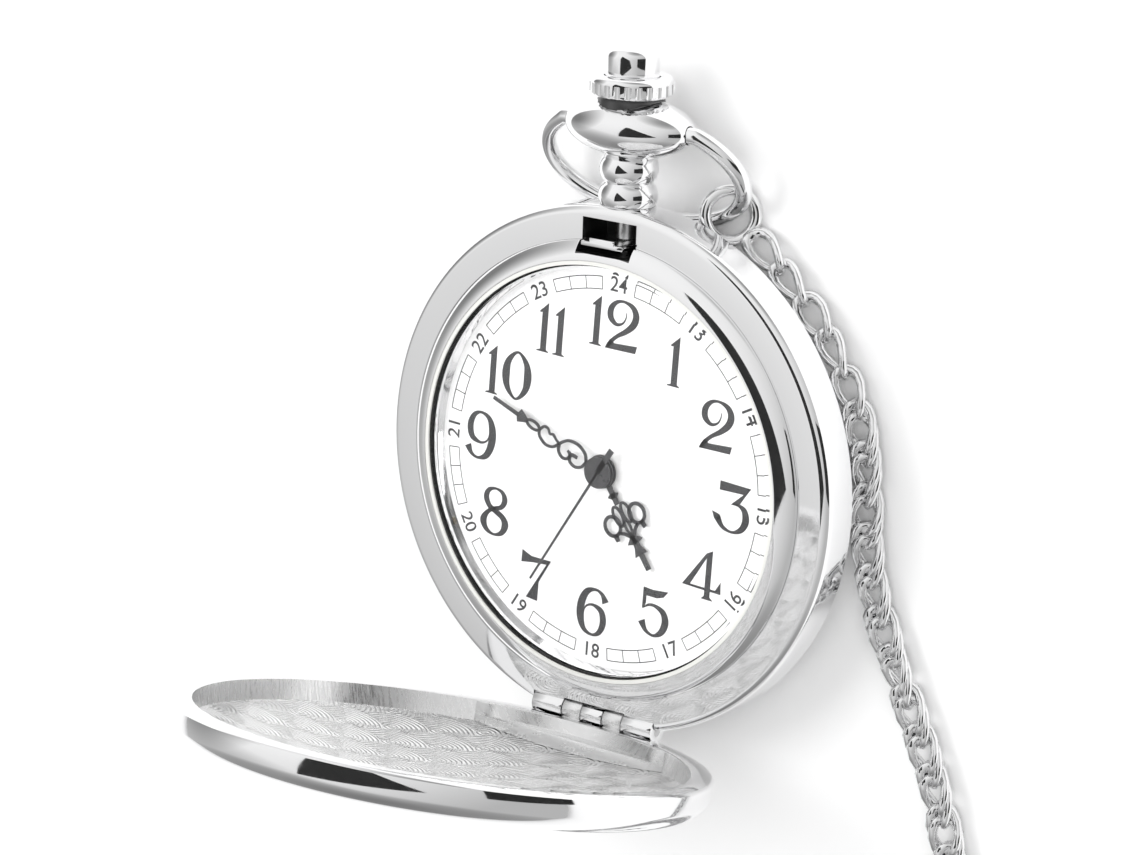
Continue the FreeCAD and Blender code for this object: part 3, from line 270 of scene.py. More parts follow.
class Value:
    """A socket that takes part in arithmetic."""

    def __init__(self, kit, socket):
        self.kit = kit
        self.socket = socket

    def math(self, operation, *others):
        return self.kit.node("ShaderNodeMath", {"operation": operation}, self, *others)

    def __add__(self, other):
        return self.math("ADD", other)

    __radd__ = __add__

    def __sub__(self, other):
        return self.math("SUBTRACT", other)

    def __rsub__(self, other):
        return self.kit.node("ShaderNodeMath", {"operation": "SUBTRACT"}, other, self)

    def __mul__(self, other):
        return self.math("MULTIPLY", other)

    __rmul__ = __mul__

    def __truediv__(self, other):
        return self.math("DIVIDE", other)


class Kit:
    """Adds nodes to one material or world."""

    def __init__(self, tree):
        self.tree = tree

    def node(self, kind, settings, *values, out=0):
        made = self.tree.nodes.new(kind)
        for name, setting in settings.items():
            setattr(made, name, setting)
        for i, value in enumerate(values):
            self.plug(made.inputs[i], value)
        return Value(self, made.outputs[out])

    def plug(self, socket, value):
        if isinstance(value, Value):
            self.tree.links.new(value.socket, socket)
        elif value is not None:
            socket.default_value = value

    def ramp(self, value, *stops):
        made = self.tree.nodes.new("ShaderNodeValToRGB")
        ramp = made.color_ramp
        while len(ramp.elements) < len(stops):
            ramp.elements.new(0.5)
        for element, (place, shade) in zip(ramp.elements, stops):
            element.position = place
            element.color = (*shade, 1)
        self.plug(made.inputs[0], value)
        return Value(self, made.outputs[0])

    def object_place(self):
        return self.node("ShaderNodeTexCoord", {}, out=3)

    def noise(self, place, scale, detail=3.0, roughness=0.5):
        return self.node("ShaderNodeTexNoise", {}, place, None, scale, detail, roughness)

    def apart(self, place):
        """The X, Y and Z of a place, in millimetres."""
        split = self.tree.nodes.new("ShaderNodeSeparateXYZ")
        self.plug(split.inputs[0], place)
        return [Value(self, s) * 1000.0 for s in split.outputs]

    def bump(self, height, depth, strength=1.0):
        """Normal from a height of 0 to 1 that stands for depth millimetres."""
        made = self.tree.nodes.new("ShaderNodeBump")
        made.inputs["Strength"].default_value = strength
        made.inputs["Distance"].default_value = depth * MM
        self.plug(made.inputs["Height"], height)
        return Value(self, made.outputs[0])


class Finish(Kit):
    """A material built on one Principled shader."""

    def __init__(self, name, color, roughness, metallic=0.0, **sockets):
        self.material = bpy.data.materials.new(name)
        self.material.use_nodes = True
        super().__init__(self.material.node_tree)
        self.shader = self.tree.nodes["Principled BSDF"]
        self.put("Base Color", (*color, 1))
        self.put("Roughness", roughness)
        self.put("Metallic", metallic)
        for name, value in sockets.items():
            self.put(name.replace("_", " "), value)

    def put(self, socket, value):
        self.plug(self.shader.inputs[socket], value)


def polished(name, shade, low, high, wave=0.012):
    """Plated metal with faint handling marks."""
    finish = Finish(name, (shade, shade, shade * 1.005), low, 1.0)
    place = finish.object_place()
    marks = finish.noise(place, 900.0, 4.0, 0.6)
    finish.put("Roughness", finish.node("ShaderNodeMapRange", {}, marks, 0.35, 0.75, low, high))
    swell = finish.noise(place, 160.0, 2.0, 0.4)
    finish.put("Normal", finish.bump(swell, wave, 0.25))
    return finish.material


def brushed(name, shade, low, high, stretch, depth=0.006):
    """Satin metal with fine lines; stretch is how much each direction is drawn out."""
    finish = Finish(name, (shade, shade, shade), low, 1.0)
    place = finish.object_place()
    drawn = finish.node("ShaderNodeVectorMath", {"operation": "MULTIPLY"}, place, stretch)
    lines = finish.noise(drawn, 1.0, 5.0, 0.65)
    finish.put("Roughness", finish.node("ShaderNodeMapRange", {}, lines, 0.3, 0.7, low, high))
    finish.put("Normal", finish.bump(lines, depth, 0.6))
    return finish.material


def plain(name, color, low, high, metallic=0.0, scale=800.0, depth=0.01, **sockets):
    """Even finish with a little grain."""
    finish = Finish(name, color, low, metallic, **sockets)
    grain = finish.noise(finish.object_place(), scale, 3.0, 0.5)
    finish.put("Roughness", finish.node("ShaderNodeMapRange", {}, grain, 0.3, 0.7, low, high))
    finish.put("Normal", finish.bump(grain, depth, 0.4))
    return finish.material


def shut_place(finish):
    """Object coordinates as they are on the shut cover."""
    back = Matrix.Rotation(-COVER_OPEN, 4, "X")
    about = HINGE * MM
    shift = about - back @ about
    return finish.node("ShaderNodeMapping", {"vector_type": "POINT"}, finish.object_place(),
                       tuple(shift), (-COVER_OPEN, 0, 0))


SPOT_R = 3.4
SPOT_PITCH_X, SPOT_PITCH_Y = 5.2, 3.4
GROOVE = 0.44


def spot_distance(across, down):
    """Distance from the middle of the spot that was turned last over each point."""
    result = None
    top_row = ((down + SPOT_R) / SPOT_PITCH_Y).math("FLOOR")
    for below in range(2, -1, -1):
        row = top_row - float(below)
        away_y = down - row * SPOT_PITCH_Y
        half = (SPOT_R ** 2 - away_y * away_y).math("MAXIMUM", 0.0).math("SQRT")
        shift = (row * 0.5).math("FRACT")
        column = ((across + half) / SPOT_PITCH_X - shift).math("FLOOR")
        away_x = across - (column + shift) * SPOT_PITCH_X
        distance = (away_x * away_x + away_y * away_y).math("SQRT")
        if result is None:
            result = distance
        else:
            inside = distance.math("LESS_THAN", SPOT_R)
            result = result + (distance - result) * inside
    return result


def engine_turned():
    """Overlapping spots of concentric grooves on the cover's floor."""
    finish = Finish("silver_turned", (0.9, 0.9, 0.9), 0.16, 1.0)
    x, y = finish.apart(shut_place(finish))[:2]
    distance = spot_distance(x, y)
    wobble = finish.noise(finish.object_place(), 700.0, 2.0, 0.5)
    rings = ((distance / GROOVE + wobble * 0.6) * (2 * math.pi)).math("SINE") * 0.5 + 0.5
    finish.put("Normal", finish.bump(rings, 0.09, 1.0))
    return finish.material


def clear_glass():
    """Crystal that lets the light through to the dial."""
    finish = Finish("crystal_clear", (1, 1, 1), 0.0, 0.0, IOR=1.4, Transmission_Weight=1.0)
    tree = finish.tree
    clear = tree.nodes.new("ShaderNodeBsdfTransparent")
    mix = tree.nodes.new("ShaderNodeMixShader")
    ray = tree.nodes.new("ShaderNodeLightPath")
    tree.links.new(ray.outputs["Is Shadow Ray"], mix.inputs[0])
    tree.links.new(finish.shader.outputs[0], mix.inputs[1])
    tree.links.new(clear.outputs[0], mix.inputs[2])
    tree.links.new(mix.outputs[0], tree.nodes["Material Output"].inputs["Surface"])
    return finish.material


def dial_lacquer():
    """Silver-white dial with a soft grain."""
    finish = Finish("dial_white", (0.78, 0.78, 0.78), 0.4, 0.0, Coat_Weight=0.3, Coat_Roughness=0.1)
    place = finish.object_place()
    grain = finish.noise(place, 2600.0, 3.0, 0.6)
    finish.put("Base Color", finish.ramp(grain, (0.3, (0.74, 0.74, 0.74)), (0.7, (0.8, 0.8, 0.8))))
    finish.put("Normal", finish.bump(grain, 0.01, 0.3))
    return finish.material


SILVER = polished("silver_polished", 0.9, 0.03, 0.09)
SILVER_SATIN = brushed("silver_satin", 0.86, 0.18, 0.4, (400.0, 400.0, 6000.0))
TURNED = engine_turned()
CHAIN_METAL = polished("chain_silver", 0.86, 0.06, 0.16)
GLASS = clear_glass()
DIAL_WHITE = dial_lacquer()
INK = plain("dial_ink", (0.02, 0.02, 0.022), 0.35, 0.55)
HAND_BLACK = plain("hand_black", (0.03, 0.03, 0.032), 0.25, 0.4)
STEEL = brushed("steel_satin", 0.62, 0.2, 0.4, (3000.0, 300.0, 300.0))
# Real dark steel on the rotor. On the latch slot's walls and the pendant's collar and bow holes it is painted
# shade.
DARK_STEEL_AND_SHADE = plain("steel_dark_and_painted_shade", (0.12, 0.12, 0.12), 0.3, 0.5, 1.0)
BRASS = plain("brass_satin", (0.75, 0.56, 0.25), 0.2, 0.4, 1.0)
NICKEL = brushed("nickel_grained", 0.7, 0.22, 0.4, (3000.0, 300.0, 300.0))
COPPER = brushed("copper_wound", 0.5, 0.3, 0.5, (300.0, 9000.0, 300.0))
RUBBER = plain("rubber_black", (0.02, 0.02, 0.02), 0.6, 0.8)
HOLDER = plain("plastic_white", (0.75, 0.75, 0.72), 0.4, 0.6)
BOARD = plain("board_green", (0.02, 0.16, 0.06), 0.3, 0.5)
CHIP = plain("chip_black", (0.015, 0.015, 0.015), 0.35, 0.5)


def clothe(piece, *materials):
    piece.data.materials.clear()
    for material in materials:
        piece.data.materials.append(material)
    return piece


def add(piece, body, *materials, node=None, slot=None):
    """Give a new piece its material, its body and the CAD node it stands for."""
    if materials:
        clothe(piece, *materials)
    if node:
        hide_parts(node)
    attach(piece, body)
    return piece


# --- case ---

def slot_block(z0):
    """Room of the latch slot, from a height up past the rim."""
    return block(-SLOT_X, SLOT_X, SLOT_Y0, SLOT_Y1, z0, RIM_Z + 5)


def barrel_room():
    """Room round the barrels of the hinge."""
    ends = [(side * BARREL_ROOM_HALF, HINGE.y, HINGE.z) for side in (-1, 1)]
    return rod(BARREL_ROOM_R, *ends, 64)


def darken_slot(piece, top):
    """Painted shade: the dark material on the walls of the latch slot."""
    clothe(piece, SILVER, DARK_STEEL_AND_SHADE)
    for face in piece.data.polygons:
        centre = face.center / MM
        across = abs(centre.x) < SLOT_X + CLEAR
        if across and SLOT_Y0 - 0.05 < centre.y < SLOT_Y1 + CLEAR and centre.z < top:
            face.material_index = 1


def case_band():
    k = RIM_CORNER * (1 - math.sqrt(0.5))
    start = (CASE_R, RIM_Z - RIM_CORNER)
    outline = [(BORE_R, BAND_Z), (CASE_R - BAND_EDGE, BAND_Z), (CASE_R, BAND_Z + BAND_EDGE), start]
    outline += arc(start, (CASE_R - k, RIM_Z - k), (CASE_R - RIM_CORNER, RIM_Z), 12)
    outline += [(BEZEL_SEAT_R, RIM_Z), (BEZEL_SEAT_R, BEZEL_SEAT_Z), (BORE_R, BEZEL_SEAT_Z)]
    piece = lathe("case_band_turned", outline)
    notch = block(-6.5, 6.5, -23.4, -21.2, 6.4, 8.6)
    stem_hole = rod(PENDANT_HOLE_R, (0, 22, AXIS_Z), (0, 25, AXIS_Z))
    cut(piece, slot_block(SLOT_Z), barrel_room(), notch, stem_hole)
    soften(piece, 0.05, 2)
    # painted shade on the walls of the latch slot
    darken_slot(piece, RIM_Z - 0.1)
    add(piece, "case", node="case_band", slot="silver_plate")


def case_back():
    """Thin domed back with a spigot."""
    spigot_r, inner_r = BACK_R - BACK_WALL, BACK_R - BACK_WALL - SPIGOT_W
    outline = [(0, 0), (BACK_FLAT_R, 0)]
    outline += arc((BACK_FLAT_R, 0), BACK_MIDDLE, (BACK_R, BAND_Z), 24)
    outline += [(spigot_r, BAND_Z), (spigot_r, BAND_Z + SPIGOT_H), (inner_r, BAND_Z + SPIGOT_H)]
    outline += [(inner_r, BAND_Z), (BACK_FLAT_R, BACK_WALL), (0, BACK_WALL)]
    piece = lathe("case_back_turned", outline, closed=False)
    soften(piece, 0.08, 3, 20)
    add(piece, "case", SILVER, node="case_back")


def bezel():
    """Curved bezel that holds the crystal."""
    crystal_seat = CRYSTAL_R + CRYSTAL_GAP
    seat_low = crystal_seat - CRYSTAL_SEAT_W
    shoulder = (BEZEL_R, RIM_Z + 0.3)
    middle = (0.5 * (BEZEL_R + crystal_seat) + 0.1, 0.5 * (shoulder[1] + BEZEL_TOP) + 0.14)
    outline = [(BEZEL_INNER_R, BEZEL_LOW), (BEZEL_R, BEZEL_LOW), shoulder]
    outline += arc(shoulder, middle, (crystal_seat, BEZEL_TOP), 12)
    outline += [(crystal_seat, CRYSTAL_LOW), (seat_low, CRYSTAL_LOW)]
    outline += [(seat_low, DIAL_RING_TOP + CLEAR), (BEZEL_INNER_R, DIAL_RING_TOP + CLEAR)]
    piece = lathe("bezel_turned", outline)
    cut(piece, slot_block(BEZEL_LOW - 1))
    soften(piece, 0.06, 3)
    # painted shade on the walls of the latch slot
    darken_slot(piece, BEZEL_TOP)
    add(piece, "case", node="bezel", slot="silver_plate")


def dial_ring():
    """Sloping ring round the dial."""
    outline = [(DIAL_OPEN_R, DIAL_Z), (DIAL_RING_R, DIAL_Z), (DIAL_RING_R, DIAL_RING_TOP)]
    outline += [(DIAL_RING_TOP_R, DIAL_RING_TOP)]
    piece = lathe("dial_ring_turned", outline)
    smooth(piece)
    add(piece, "case", SILVER, node="dial_ring")


def crystal():
    """Domed crystal with an upright edge."""
    edge = CRYSTAL_TOP - CRYSTAL_RISE
    inner = CRYSTAL_R - 0.9
    shoulder = (CRYSTAL_R - 0.35, edge)
    outline = [(0, CRYSTAL_TOP - CRYSTAL_T)]
    outline += dome((inner, CRYSTAL_LOW), CRYSTAL_TOP - CRYSTAL_T)[::-1][1:]
    outline += [(inner, CRYSTAL_LOW), (CRYSTAL_R, CRYSTAL_LOW), (CRYSTAL_R, edge - 0.15), shoulder]
    outline += dome(shoulder, CRYSTAL_TOP)
    piece = lathe("crystal_dome", outline, closed=False)
    smooth(piece, 12)
    add(piece, "case", GLASS, node="crystal")


# --- dial print ---

def flow(points, steps=8, closed=False):
    """Smooth line through (x, y, width) points."""
    count = len(points)
    result = []
    for i in range(count if closed else count - 1):
        if closed:
            near = [points[(i + k) % count] for k in (-1, 0, 1, 2)]
        else:
            near = [points[min(max(i + k, 0), count - 1)] for k in (-1, 0, 1, 2)]
        for j in range(steps):
            t = j / steps
            result.append([0.5 * (2 * b + (c - a) * t + (2 * a - 5 * b + 4 * c - d) * t ** 2
                                  + (3 * b - a - 3 * c + d) * t ** 3) for a, b, c, d in zip(*near)])
    if not closed:
        result.append(list(points[-1]))
    return result


class Drawing:
    """Flat shapes that end up in one mesh."""

    def __init__(self, height):
        self.points = []
        self.faces = []
        self.height = height

    def shape(self, outline, place=(0, 0), turn=0.0, size=1.0):
        first = len(self.points)
        c, s = math.cos(turn), math.sin(turn)
        for x, y in outline:
            x, y = x * size, y * size
            self.points.append((place[0] + x * c - y * s, place[1] + x * s + y * c, self.height))
        return list(range(first, len(self.points)))

    def patch(self, outline, **where):
        self.faces.append(self.shape(outline, **where))

    def ribbon(self, points, closed=False, steps=8, **where):
        line = flow(points, steps, closed)
        left, right = [], []
        for i, (x, y, width) in enumerate(line):
            before = line[i - 1] if i or closed else line[0]
            after = line[(i + 1) % len(line)] if closed or i + 1 < len(line) else line[-1]
            dx, dy = after[0] - before[0], after[1] - before[1]
            length = math.hypot(dx, dy) or 1.0
            nx, ny = -dy / length * width / 2, dx / length * width / 2
            left.append((x + nx, y + ny))
            right.append((x - nx, y - ny))
        a, b = self.shape(left, **where), self.shape(right, **where)
        for i in range(len(line) if closed else len(line) - 1):
            j = (i + 1) % len(line)
            self.faces.append([b[i], b[j], a[j], a[i]])

    def mesh(self, name):
        data = bpy.data.meshes.new(name)
        data.from_pydata([Vector(p) * MM for p in self.points], [], self.faces)
        piece = bpy.data.objects.new(name, data)
        bpy.context.collection.objects.link(piece)
        return piece


NINE = [(2.9, 2.75, 0.1), (2.85, 2.2, 0.16), (2.5, 1.75, 0.2), (1.85, 1.6, 0.3), (1.0, 2.0, 0.62),
        (0.75, 3.0, 0.68), (1.1, 3.95, 0.5), (1.85, 4.35, 0.26), (2.75, 4.0, 0.5), (3.2, 3.0, 0.78),
        (3.2, 1.7, 0.8), (2.7, 0.55, 0.62), (1.8, 0.14, 0.28), (1.05, 0.4, 0.4), (0.6, 1.1, 0.78)]
DIGITS = {
    "0": (3.3, [], [("loop", [(2.85, 2.25, 0.86), (2.6, 3.5, 0.6), (1.65, 4.36, 0.24), (0.7, 3.5, 0.6),
                              (0.45, 2.25, 0.86), (0.7, 1.0, 0.6), (1.65, 0.12, 0.24), (2.6, 1.0, 0.6)])]),
    "1": (1.3, [[(0, 0), (1.35, 0), (1.3, 0.12), (1.06, 0.22), (1.06, 4.5), (0.12, 3.62), (0.18, 3.48),
                 (0.4, 3.55), (0.4, 0.22), (0.05, 0.12)]], []),
    "2": (3.5, [[(0, 0), (3.25, 0.1), (3.4, 0.78), (1.0, 0.6), (0.5, 0.9)]],
          [("line", [(2.05, 3.5, 0.1), (2.0, 3.0, 0.14), (1.7, 2.5, 0.2), (1.05, 2.3, 0.35),
                     (0.42, 2.8, 0.62), (0.4, 3.6, 0.6), (0.95, 4.25, 0.36), (1.75, 4.42, 0.26),
                     (2.65, 4.1, 0.5), (3.05, 3.4, 0.68), (2.85, 2.6, 0.66), (2.1, 1.85, 0.5),
                     (1.2, 1.25, 0.36),
                     (0.55, 0.6, 0.4), (0.2, 0.08, 0.3)])]),
    "3": (3.8, [[(0.6, 3.58), (0.62, 4.42), (3.8, 4.36), (3.6, 4.05), (3.1, 3.68)],
                [(3.75, 4.3), (3.35, 3.95), (1.85, 2.55), (2.3, 2.55), (2.75, 2.7)],
                [(0.0, 1.6), (0.82, 1.42), (0.9, 1.0), (0.3, 0.9)]],
          [("line", [(2.0, 2.6, 0.12), (2.7, 2.62, 0.3), (3.3, 2.25, 0.6), (3.5, 1.4, 0.72),
                     (3.1, 0.55, 0.55), (2.2, 0.13, 0.26), (1.2, 0.4, 0.42), (0.6, 1.15, 0.7)])]),
    "4": (4.1, [[(0.0, 0.85), (0.1, 1.0), (2.3, 4.15), (2.95, 4.5), (2.95, 0.3), (3.25, 0.08), (3.25, 0),
                 (2.1, 0), (2.1, 0.08), (2.35, 0.3), (2.35, 3.7), (0.85, 1.05), (2.4, 1.05), (2.4, 0.8)],
                [(2.9, 0.8), (4.05, 0.8), (3.98, 1.95), (3.45, 1.05), (2.9, 1.05)]], []),
    "5": (3.3, [[(0.42, 4.35), (1.4, 4.28), (3.05, 4.45), (2.6, 3.85), (1.9, 3.6), (0.8, 3.6), (0.8, 2.9),
                 (0.5, 2.35), (0.4, 2.4)]],
          [("line", [(0.48, 2.4, 0.1), (1.1, 2.82, 0.26), (1.8, 2.86, 0.34), (2.65, 2.45, 0.62),
                     (2.95, 1.6, 0.74), (2.6, 0.65, 0.6), (1.8, 0.15, 0.28), (0.95, 0.45, 0.42),
                     (0.45, 1.25, 0.78)])]),
    "6": (3.5, [], [("line", [(3.65 - x, 4.5 - y, w) for x, y, w in NINE])]),
    "7": (3.2, [[(0.02, 3.22), (0.06, 4.4), (1.1, 4.0), (3.25, 4.02), (2.9, 3.6), (1.3, 3.45)],
                [(3.25, 4.0), (2.75, 3.55), (0.75, 0.1), (2.05, 0.0), (2.08, 1.8)]], []),
    "8": (3.3, [], [("loop", [(2.65, 3.5, 0.62), (2.35, 4.15, 0.42), (1.6, 4.38, 0.24), (0.85, 4.1, 0.45),
                              (0.6, 3.4, 0.62), (1.0, 2.65, 0.55), (1.7, 2.3, 0.55), (2.5, 1.9, 0.6),
                              (2.85, 1.25, 0.76), (2.5, 0.45, 0.5), (1.65, 0.12, 0.25), (0.8, 0.45, 0.5),
                              (0.42, 1.2, 0.74), (0.8, 2.0, 0.45), (1.5, 2.5, 0.36), (2.3, 2.8, 0.45)])]),
    "9": (3.6, [], [("line", NINE)]),
}
HOURS = {1: (6.4, 11.3), 2: (11.3, 6.65), 3: (13.35, -0.1), 4: (11.05, -6.6), 5: (6.3, -11.4),
         6: (-0.1, -13.05), 7: (-6.65, -11.4), 8: (-11.5, -6.6), 9: (-13.8, 0.0), 10: (-11.0, 6.3),
         11: (-6.75, 11.3), 12: (-0.1, 13.15)}
DIGIT_GAP = 0.42


def draw_number(page, text, centre, turn=0.0, size=1.0):
    """Draw a number of one or two digits about its centre."""
    width = sum(DIGITS[d][0] for d in text) + DIGIT_GAP * (len(text) - 1)
    c, s = math.cos(turn), math.sin(turn)
    x = -width / 2
    for digit in text:
        advance, patches, strokes = DIGITS[digit]
        y = -2.25
        place = (centre[0] + (x * c - y * s) * size, centre[1] + (x * s + y * c) * size)
        where = {"place": place, "turn": turn, "size": size}
        for outline in patches:
            page.patch(outline, **where)
        for kind, points in strokes:
            page.ribbon(points, closed=kind == "loop", **where)
        x += advance + DIGIT_GAP


def ring_text(text, radius, clockwise):
    """Small upright number on the outer ring, its top outward on the upper half."""
    angle = math.radians(90 - clockwise)
    deselect()
    bpy.ops.object.text_add()
    piece = bpy.context.object
    piece.data.body = text
    piece.data.size = 1.85 * MM
    piece.data.align_x = "CENTER"
    piece.data.align_y = "CENTER"
    piece.data.offset = 0.02 * MM
    piece.data.resolution_u = 4
    bpy.ops.object.convert(target="MESH")
    below = 110 < clockwise < 250
    piece.rotation_euler = (0, 0, angle + (math.pi / 2 if below else -math.pi / 2))
    place = Vector((radius * math.cos(angle), radius * math.sin(angle), DIAL_Z + PRINT_LIFT))
    piece.location = place * MM
    return settle(piece)


TRACK_IN, TRACK_OUT, TRACK_LINE = 16.05, 17.15, 0.09
TEXT_R = 16.6


def dial_print():
    """The hour numbers, the minute track and the small numbers on it."""
    page = Drawing(DIAL_Z + PRINT_LIFT)
    for hour, centre in HOURS.items():
        draw_number(page, str(hour), centre)
    for hour in range(12):
        start, end = hour * 30 + 6, hour * 30 + 24
        for radius in (TRACK_IN, TRACK_OUT):
            turns = [math.radians(90 - start - (end - start) * i / 12) for i in range(13)]
            page.ribbon([(radius * math.cos(t), radius * math.sin(t), TRACK_LINE) for t in turns], steps=1)
        for minute in range(4):
            t = math.radians(90 - start - 6 * minute)
            ends = [(r * math.cos(t), r * math.sin(t), TRACK_LINE) for r in (TRACK_IN, TRACK_OUT)]
            page.ribbon(ends, steps=1)
    sheet = page.mesh("dial_print")
    small = [ring_text(str(hour + 12), TEXT_R, hour * 30) for hour in range(1, 13)]
    pick(sheet, *small)
    bpy.ops.object.join()
    sheet.data.transform(Matrix.Rotation(PRINT_TURN, 4, "Z"))
    add(sheet, "case", INK, slot="black_lacquer")


# --- hands ---

HAND_T = 0.12
HOUR_AT, MINUTE_AT, SECOND_AT = 145.6, 291.3, 212.3

def ellipse(x, y, rx, ry, width):
    return [(x + rx * math.cos(t), y + ry * math.sin(t), width)
            for t in [math.pi * i / 4 for i in range(8)]]


def disc(radius, sides=48):
    return [(radius * math.cos(2 * math.pi * i / sides), radius * math.sin(2 * math.pi * i / sides))
            for i in range(sides)]


def raise_hand(page, name, node, body, clockwise):
    """Thicken a drawn hand and turn it to its place on the dial."""
    piece = page.mesh(name)
    modify(piece, "SOLIDIFY", thickness=HAND_T * MM, offset=-1)
    piece.data.transform(Matrix.Rotation(math.radians(-clockwise), 4, "Z"))
    soften(piece, 0.02, 1, 50)
    add(piece, body, HAND_BLACK, node=node)


def hour_hand():
    """Pierced hour hand with two round loops and a leaf between them."""
    page = Drawing(span("hour_hand")[1].z)
    page.patch(disc(1.5))
    page.patch([(-0.27, 1.2), (0.27, 1.2), (0.27, 3.2), (-0.27, 3.2)])
    page.patch([(-0.27, 2.1), (0.27, 2.1), (0.62, 2.3), (0.27, 2.6), (-0.27, 2.6), (-0.62, 2.3)])
    page.patch([(-0.26, 7.9), (0.26, 7.9), (0.26, 9.5), (-0.26, 9.5)])
    page.patch([(-0.2, 6.2), (0.2, 6.2), (0.35, 7.3), (0.72, 8.05), (0.26, 8.0), (-0.26, 8.0),
                (-0.72, 8.05), (-0.35, 7.3)])
    page.patch([(-0.9, 6.75), (-0.2, 6.2), (0.2, 6.2), (0.9, 6.75), (0.25, 6.95), (-0.25, 6.95)])
    page.ribbon([(0, 5.9, 0.4), (0, 6.4, 0.5)], steps=2)
    for side in (-1, 1):
        page.ribbon(ellipse(side * 1.5, 4.65, 0.82, 0.88, 0.32), closed=True)
        page.ribbon(ellipse(side * 0.5, 4.15, 0.42, 0.92, 0.24), closed=True)
        page.ribbon([(side * 1.2, 5.45, 0.3), (side * 0.6, 5.8, 0.3), (side * 0.15, 6.3, 0.3)], steps=3)
        page.patch([(side * 1.35, 5.4), (side * 1.9, 5.35), (side * 1.85, 6.05), (side * 1.5, 6.1)][::side])
    page.ribbon(ellipse(0, 5.35, 0.26, 0.6, 0.22), closed=True)
    raise_hand(page, "hour_hand_pierced", "hour_hand", "hours", HOUR_AT)


def minute_hand():
    """Pierced minute hand with a large scroll, a small one and a barbed tip."""
    page = Drawing(span("minute_hand")[1].z)
    page.patch(disc(1.45))
    page.patch([(-0.36, 1.0), (0.36, 1.0), (0.28, 1.7), (-0.28, 1.7)])
    page.ribbon([(0.0, 1.6, 0.3), (0.65, 2.0, 0.28), (1.0, 2.9, 0.28), (0.85, 3.9, 0.28), (0.35, 4.5, 0.28),
                 (0.0, 4.75, 0.3)])
    page.ribbon([(0.0, 1.6, 0.3), (-0.65, 1.9, 0.27), (-1.0, 2.5, 0.27), (-0.9, 3.1, 0.27), (-0.55, 3.3, 0.3),
                 (-0.2, 3.2, 0.34), (-0.12, 2.6, 0.3)])
    page.ribbon([(0.0, 4.75, 0.3), (-0.6, 4.6, 0.27), (-0.95, 4.1, 0.27), (-0.85, 3.6, 0.27),
                 (-0.5, 3.35, 0.3), (-0.2, 3.45, 0.3), (-0.08, 3.75, 0.2)])
    page.ribbon([(0.0, 4.75, 0.3), (-0.65, 5.3, 0.26), (-0.85, 6.1, 0.26), (-0.5, 6.9, 0.26),
                 (0.05, 7.15, 0.28)])
    page.ribbon([(0.05, 7.1, 0.26), (0.55, 6.8, 0.26), (0.6, 6.35, 0.22), (0.28, 6.0, 0.2), (0.4, 5.65, 0.24),
                 (0.15, 5.2, 0.2), (0.0, 4.75, 0.26)])
    page.ribbon(ellipse(0.03, 7.9, 0.34, 0.72, 0.26), closed=True)
    page.patch([(-0.1, 8.5), (0.14, 8.5), (0.66, 9.55), (0.2, 9.75), (-0.16, 9.75), (-0.62, 9.55)])
    page.patch([(-0.16, 9.6), (0.2, 9.6), (0.18, 12.65), (-0.14, 12.65)])
    raise_hand(page, "minute_hand_pierced", "minute_hand", "minutes", MINUTE_AT)


def second_hand():
    """Slim second hand with a counterweight tail."""
    page = Drawing(span("second_hand")[1].z - 0.05)
    page.patch(disc(1.4))
    page.patch([(-0.13, 0), (0.13, 0), (0.1, 13.0), (-0.1, 13.0)])
    page.patch([(-0.28, -2.7), (0.28, -2.7), (0.28, 0), (-0.28, 0)])
    raise_hand(page, "second_hand_fine", "second_hand", "seconds", SECOND_AT)


# --- pendant, bow, crown ---

def pendant():
    """Beaded neck, rounded head and collar, with the holes for the bow."""
    neck = [(0, 22.4), (2.1, 22.4), (2.1, 23.0)]
    for middle in (24.2, 26.6):
        neck += arc(neck[-1], (2.6, middle), (2.1, middle + 1.2), 16)
    neck += [(2.1, 30.2), (2.9, 30.2), (2.9, 32.6), (2.75, 32.85), (0, 32.85)]
    piece = lathe_y("pendant_turned", neck, 96, closed=False)
    deselect()
    bpy.ops.mesh.primitive_uv_sphere_add(segments=96, ring_count=48, radius=MM)
    head = bpy.context.object
    head.scale = (6.4, 2.7, 3.9)
    head.location = BOW_PIVOT * MM
    settle(head)
    unite(piece, head)
    cutters = [rod(CASE_R + 0.02, (0, 0, 2), (0, 0, RIM_Z + 1), STEPS)]
    for side in (-1, 1):
        cutters.append(rod(0.82, (side * 4.8, BOW_PIVOT.y, AXIS_Z), (side * 8, BOW_PIVOT.y, AXIS_Z)))
    cutters.append(rod(2.0, (0, 29.8, AXIS_Z), (0, 34, AXIS_Z)))
    cut(piece, *cutters)
    soften(piece, 0.1, 3, 40)
    # Painted shade and painted dark reflection: the collar and the insides of the bow holes get the dark
    # material.
    clothe(piece, SILVER, DARK_STEEL_AND_SHADE)
    for face in piece.data.polygons:
        centre = face.center / MM
        in_hole = abs(centre.x) > 4.78 and math.hypot(centre.y - BOW_PIVOT.y, centre.z - AXIS_Z) < 0.81
        collar = centre.y > 31.6 and math.hypot(centre.x, centre.z - AXIS_Z) < 2.93
        if collar or in_hole:
            face.material_index = 1
    add(piece, "case", node="pendant", slot="silver_plate")


BOW_RX, BOW_RY, BOW_MID, BOW_FOLD = 10.17, 5.97, 4.39, math.radians(31.1)
BOW_WIRE_R, BOW_PIVOT_X, BOW_BEND_X = 0.75, 4.9, 5.8


def bow_point(turn):
    """Point of the folded bow, counted from its lowest point."""
    down = BOW_MID + BOW_RY * math.cos(turn)
    return Vector((BOW_RX * math.sin(turn), BOW_PIVOT.y - down * math.cos(BOW_FOLD),
                   AXIS_Z - down * math.sin(BOW_FOLD)))


